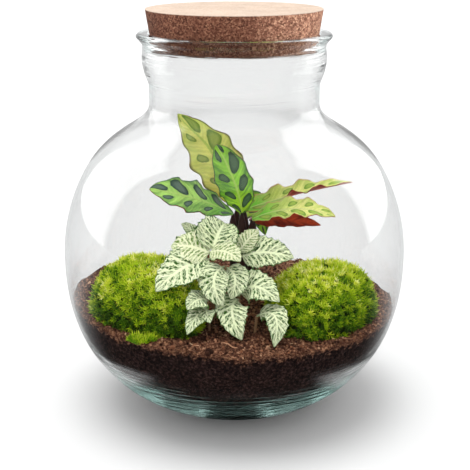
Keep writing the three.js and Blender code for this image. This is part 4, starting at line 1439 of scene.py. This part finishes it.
# %% Nerve plant plan
VEINED = dict(
    rows=84, columns=16, thickness=0.0004, stalk=0.0014, bare=0.07, peak=0.38, fullness=1.3,
    waves=2.6, shift=1.4, wave=0.0009, ripple=0.0004, fold=0.1, scallop=0.03, teeth=0.11, tooth_count=9,
)
VEINED_STALK_RADIUS = 0.001
NERVE_STEMS = [
    dict(node="veined_stem_top_left", root=(-0.013, -0.058), crown=(-0.015, -0.060, 0.133), leaves=[
        dict(base=(-0.015, -0.0595, 0.133), middle=(-0.011, -0.055, 0.145), tip=(-0.0065, -0.043, 0.149),
             width=0.030, faces=(-0.05, -0.85, 0.5), fold=0.5),
        dict(base=(-0.0155, -0.060, 0.132), middle=(-0.029, -0.059, 0.137), tip=(-0.0435, -0.055, 0.136),
             width=0.028, faces=(-0.1, -0.6, 0.8), pale=True),
        dict(base=(-0.0155, -0.0605, 0.129), middle=(-0.034, -0.074, 0.127), tip=(-0.052, -0.086, 0.1145),
             width=0.032, faces=(-0.15, -0.6, 0.8)),
        dict(base=(-0.0175, -0.061, 0.1335), middle=(-0.006, -0.070, 0.137), tip=(0.004, -0.079, 0.133),
             width=0.020, faces=(0.1, -0.6, 0.8), pale=True),
    ]),
    dict(node="veined_stem_top_right", root=(0.003, -0.050), crown=(0.003, -0.054, 0.131), leaves=[
        dict(base=(0.003, -0.054, 0.131), middle=(0.009, -0.051, 0.139), tip=(0.017, -0.046, 0.1455),
             width=0.016, faces=(-0.4, -0.8, 0.5), pale=True),
        dict(base=(0.0035, -0.0545, 0.128), middle=(0.021, -0.059, 0.133), tip=(0.0405, -0.062, 0.130),
             width=0.026, faces=(0.05, -0.65, 0.75)),
        dict(base=(0.0035, -0.0535, 0.129), middle=(0.015, -0.042, 0.136), tip=(0.028, -0.032, 0.131),
             width=0.026, faces=(0.3, 0.4, 0.9)),
    ]),
    dict(node="veined_stem_middle", root=(-0.005, -0.066), crown=(-0.006, -0.070, 0.127), leaves=[
        dict(base=(-0.0065, -0.0705, 0.127), middle=(-0.0135, -0.083, 0.121), tip=(-0.0075, -0.090, 0.1055),
             width=0.023, faces=(-0.2, -0.85, 0.5)),
        dict(base=(-0.0055, -0.070, 0.126), middle=(0.0005, -0.079, 0.121), tip=(-0.0025, -0.084, 0.1085),
             width=0.020, faces=(0.2, -0.9, 0.45)),
    ]),
    dict(node="veined_stem_low_right", root=(0.004, -0.070), crown=(0.003, -0.072, 0.106), leaves=[
        dict(base=(0.003, -0.072, 0.106), middle=(0.0145, -0.078, 0.115), tip=(0.030, -0.086, 0.107),
             width=0.025, faces=(0.1, -0.7, 0.7)),
        dict(base=(0.003, -0.0725, 0.104), middle=(-0.0015, -0.087, 0.101), tip=(0.005, -0.098, 0.085),
             width=0.023, faces=(-0.05, -0.85, 0.5)),
    ]),
    dict(node="veined_stem_front_right", root=(0.014, -0.080), crown=(0.015, -0.081, 0.095), leaves=[
        dict(base=(0.015, -0.081, 0.095), middle=(0.027, -0.092, 0.099), tip=(0.026, -0.104, 0.0825),
             width=0.019, faces=(0.3, -0.65, 0.7)),
    ]),
    dict(node="veined_stem_low_left", root=(-0.017, -0.076), crown=(-0.018, -0.079, 0.105), leaves=[
        dict(base=(-0.018, -0.0795, 0.105), middle=(-0.024, -0.087, 0.109), tip=(-0.031, -0.095, 0.105),
             width=0.017, faces=(-0.1, -0.7, 0.7)),
        dict(base=(-0.018, -0.080, 0.101), middle=(-0.024, -0.090, 0.100), tip=(-0.031, -0.101, 0.090),
             width=0.015, faces=(-0.3, -0.9, 0.4)),
        dict(base=(-0.018, -0.0795, 0.099), middle=(-0.0185, -0.088, 0.101), tip=(-0.016, -0.096, 0.096),
             width=0.013, faces=(0.1, -0.8, 0.6)),
    ]),
    dict(node="veined_stem_back", root=(-0.015, -0.040), crown=(-0.021, -0.042, 0.135), leaves=[
        dict(base=(-0.021, -0.042, 0.135), middle=(-0.029, -0.041, 0.143), tip=(-0.037, -0.040, 0.148),
             width=0.009, faces=(-0.5, -0.5, 0.7)),
        dict(base=(-0.0205, -0.042, 0.131), middle=(-0.030, -0.030, 0.136), tip=(-0.042, -0.020, 0.130),
             width=0.022, faces=(-0.3, 0.3, 0.9)),
        dict(base=(-0.020, -0.0415, 0.128), middle=(-0.013, -0.029, 0.134), tip=(-0.008, -0.018, 0.129),
             width=0.020, faces=(0.1, 0.4, 0.9)),
    ]),
]

# %% Nerve plant
NERVE_MATERIALS = [nerve_green, nerve_pale, nerve_under, nerve_stalk]

for stem in NERVE_STEMS:
    bm = bmesh.new()
    for leaf in stem["leaves"]:
        add_blade(bm, leaf, VEINED, upper=1 if leaf.get("pale") else 0, under=2)
    x, y, z = stem["crown"]
    root_x, root_y = stem["root"]
    half_way = ((root_x + x) / 2, (root_y + y) / 2, (soil_height(root_x, root_y) + z) / 2)
    path = smooth_line(stalk_foot(stem["root"]) + [half_way, stem["crown"]], steps=5)
    add_tube(bm, path, [VEINED_STALK_RADIUS] * len(path), sides=10, material_index=3)
    name = stem["node"].replace("veined_stem", "nerve_stem")
    add_piece(name, bm, NERVE_MATERIALS, [stem["node"]])

# %% [markdown]
# ## Floor and light
#
# A clear jar is seen by what it mirrors. Two tall white panels beside and behind it make the two
# bright lens shapes on the globe. Fainter panels farther back and one overhead give the glass its
# grey edges, and the dark room in front leaves the rest of it clear.
#
# The world shader paints that room. It turns a direction into two angles, how far round and how far
# up it points, and each panel is a soft-edged range of both. Matt surfaces see something simpler, the
# soft light that such a studio has as a whole, so that the plants are lit evenly. Light that a leaf
# sends out through the glass counts as matt too, which is what the diffuse depth is asked for.
#
# White floor in front of the jar would be mirrored too, and lie over the dark soil as a haze. A
# photographer lays black cloth there. Here the floor's shader does it: a ray that was mirrored once
# sees the floor in front of the jar as black. It sees the floor farther back as grey, and that grey
# is what draws the thin dark lines at the edges of the glass. Right beside the foot, at its left and
# right, the cloth has a hole, so that the ends of the foot mirror white floor.
#
# The foot is different. Light that enters the thick glass there is mirrored many times between its
# two faces, as in a light guide, and comes out somewhere else with a teal tint. Each time counts as a
# bounce, so glass like this needs more of them than Blender's usual limit, or the foot is black.

# %% Floor material
FLOOR_WHITE = 0.535
CLOTH_START, CLOTH_END = -0.05, 0.15
FAR_CLOTH = 0.45
HOLE_RADIUS, HOLE_EDGE = 0.13, 0.01
HOLE_FROM_X, HOLE_TO_X = 0.08, 0.1
BLACK = (0, 0, 0, 1)

floor_material, tree, shader = new_material("floor", 0.9, specular=0.1)
place = object_place(tree)
in_front = step_between(tree, axes_of(tree, place)["Y"], CLOTH_END, CLOTH_START)
darkness = calculate(tree, "MULTIPLY_ADD", in_front, 1 - FAR_CLOTH, FAR_CLOTH)
from_axis = add_node(tree, "ShaderNodeVectorMath", {0: place}, operation="LENGTH").outputs["Value"]
near_jar = step_between(tree, from_axis, HOLE_RADIUS + HOLE_EDGE, HOLE_RADIUS - HOLE_EDGE)
from_middle = calculate(tree, "ABSOLUTE", axes_of(tree, place)["X"])
hole = calculate(tree, "MULTIPLY", near_jar, step_between(tree, from_middle, HOLE_FROM_X, HOLE_TO_X))
darkness = calculate(tree, "MULTIPLY", darkness, calculate(tree, "SUBTRACT", 1.0, hole))
mirrors = add_node(tree, "ShaderNodeLightPath").outputs["Glossy Depth"]
cloth = calculate(tree, "MULTIPLY", calculate(tree, "COMPARE", mirrors, 1.0, 0.5), darkness)
white = (FLOOR_WHITE,) * 3 + (1,)
connect(tree, shader, mix_colours(tree, cloth, white, BLACK))

# %% Floor plane
FLOOR_SIZE, FLOOR_GAP = 15, 0.0004

floor_bm = bmesh.new()
below = Matrix.Translation((0, 0, -FLOOR_GAP))
bmesh.ops.create_grid(floor_bm, x_segments=1, y_segments=1, size=FLOOR_SIZE, matrix=below)
add_object("floor", mesh_from("floor", floor_bm, [floor_material]))

# %% Bounces
GLASS_BOUNCES = 24

paths = bpy.context.scene.cycles
paths.max_bounces = paths.glossy_bounces = paths.transmission_bounces = GLASS_BOUNCES

# %% Room panels
ROOM_LIGHT = 0.05
PANEL_EDGE = 3
PANELS = [
    dict(around=(-145, -95), up=(-3, 57), light=2.0),
    dict(around=(100, 152), up=(-5, 60), light=2.0),
    dict(around=(-200, 200), up=(60, 100), light=0.5),
    dict(around=(165, 200), up=(-10, 60), light=1.0),
    dict(around=(-200, -165), up=(-10, 60), light=1.0),
    dict(around=(140, 172), up=(14, 62), light=0.95),
    dict(around=(-172, -140), up=(14, 62), light=0.95),
    dict(around=(140, 172), up=(-10, 20), light=0.6),
    dict(around=(-172, -140), up=(-10, 20), light=0.75),
]

world = bpy.data.worlds.new("studio")
world.use_nodes = True
bpy.context.scene.world = world
tree = world.node_tree
direction = axes_of(tree, add_node(tree, "ShaderNodeTexCoord").outputs["Generated"])
towards_viewer = calculate(tree, "MULTIPLY", direction["Y"], -1.0)
around = calculate(tree, "DEGREES", calculate(tree, "ARCTAN2", direction["X"], towards_viewer))
up = calculate(tree, "DEGREES", calculate(tree, "ARCSINE", direction["Z"]))
panels = ROOM_LIGHT
for panel in PANELS:
    share = panel["light"]
    for angle, (start, end) in ((around, panel["around"]), (up, panel["up"])):
        after_start = step_between(tree, angle, start - PANEL_EDGE, start + PANEL_EDGE)
        before_end = step_between(tree, angle, end + PANEL_EDGE, end - PANEL_EDGE)
        share = calculate(tree, "MULTIPLY", calculate(tree, "MULTIPLY", after_start, share), before_end)
    panels = calculate(tree, "MAXIMUM", share, panels)
print(len(PANELS), "panels")

# %% Room light
LOW_LIGHT, HIGH_LIGHT = 1.65, 1.46
HIGH_FROM, HIGH_TO = 35, 60

high_up = step_between(tree, up, HIGH_FROM, HIGH_TO)
soft_light = calculate(tree, "MULTIPLY_ADD", high_up, HIGH_LIGHT - LOW_LIGHT, LOW_LIGHT)
ray = add_node(tree, "ShaderNodeLightPath").outputs
mirrored = calculate(tree, "MAXIMUM", ray["Is Glossy Ray"], ray["Is Transmission Ray"])
from_glass = calculate(tree, "LESS_THAN", ray["Diffuse Depth"], 0.5)
mirrored = calculate(tree, "MULTIPLY", mirrored, from_glass)
brightness = add_node(tree, "ShaderNodeMix", {0: mirrored, 2: soft_light, 3: panels}).outputs[0]
tree.links.new(brightness, tree.nodes["Background"].inputs["Color"])

# %% [markdown]
# ### Key light
#
# One broad sun from nearly overhead lights the tops of the leaves and draws the shadow under the jar.
# Mirrored in the glass it would lie over the leaves as a large pale spot, so it is left out of what
# glossy rays see, and of what rays that have come out of the glass see.

# %% Sun
SUN_AROUND, SUN_UP = math.radians(-70), math.radians(82)
SUN_STRENGTH, SUN_BREADTH = 2.35, math.radians(40)

sun = add_object("sun", bpy.data.lights.new("sun", "SUN"))
sun.data.energy = SUN_STRENGTH
sun.data.angle = SUN_BREADTH
sun.visible_glossy = sun.visible_transmission = False
level = math.cos(SUN_UP)
sun_x, sun_y = math.sin(SUN_AROUND) * level, -math.cos(SUN_AROUND) * level
towards_sun = Vector((sun_x, sun_y, math.sin(SUN_UP)))
sun.rotation_euler = towards_sun.to_track_quat("Z", "Y").to_euler()
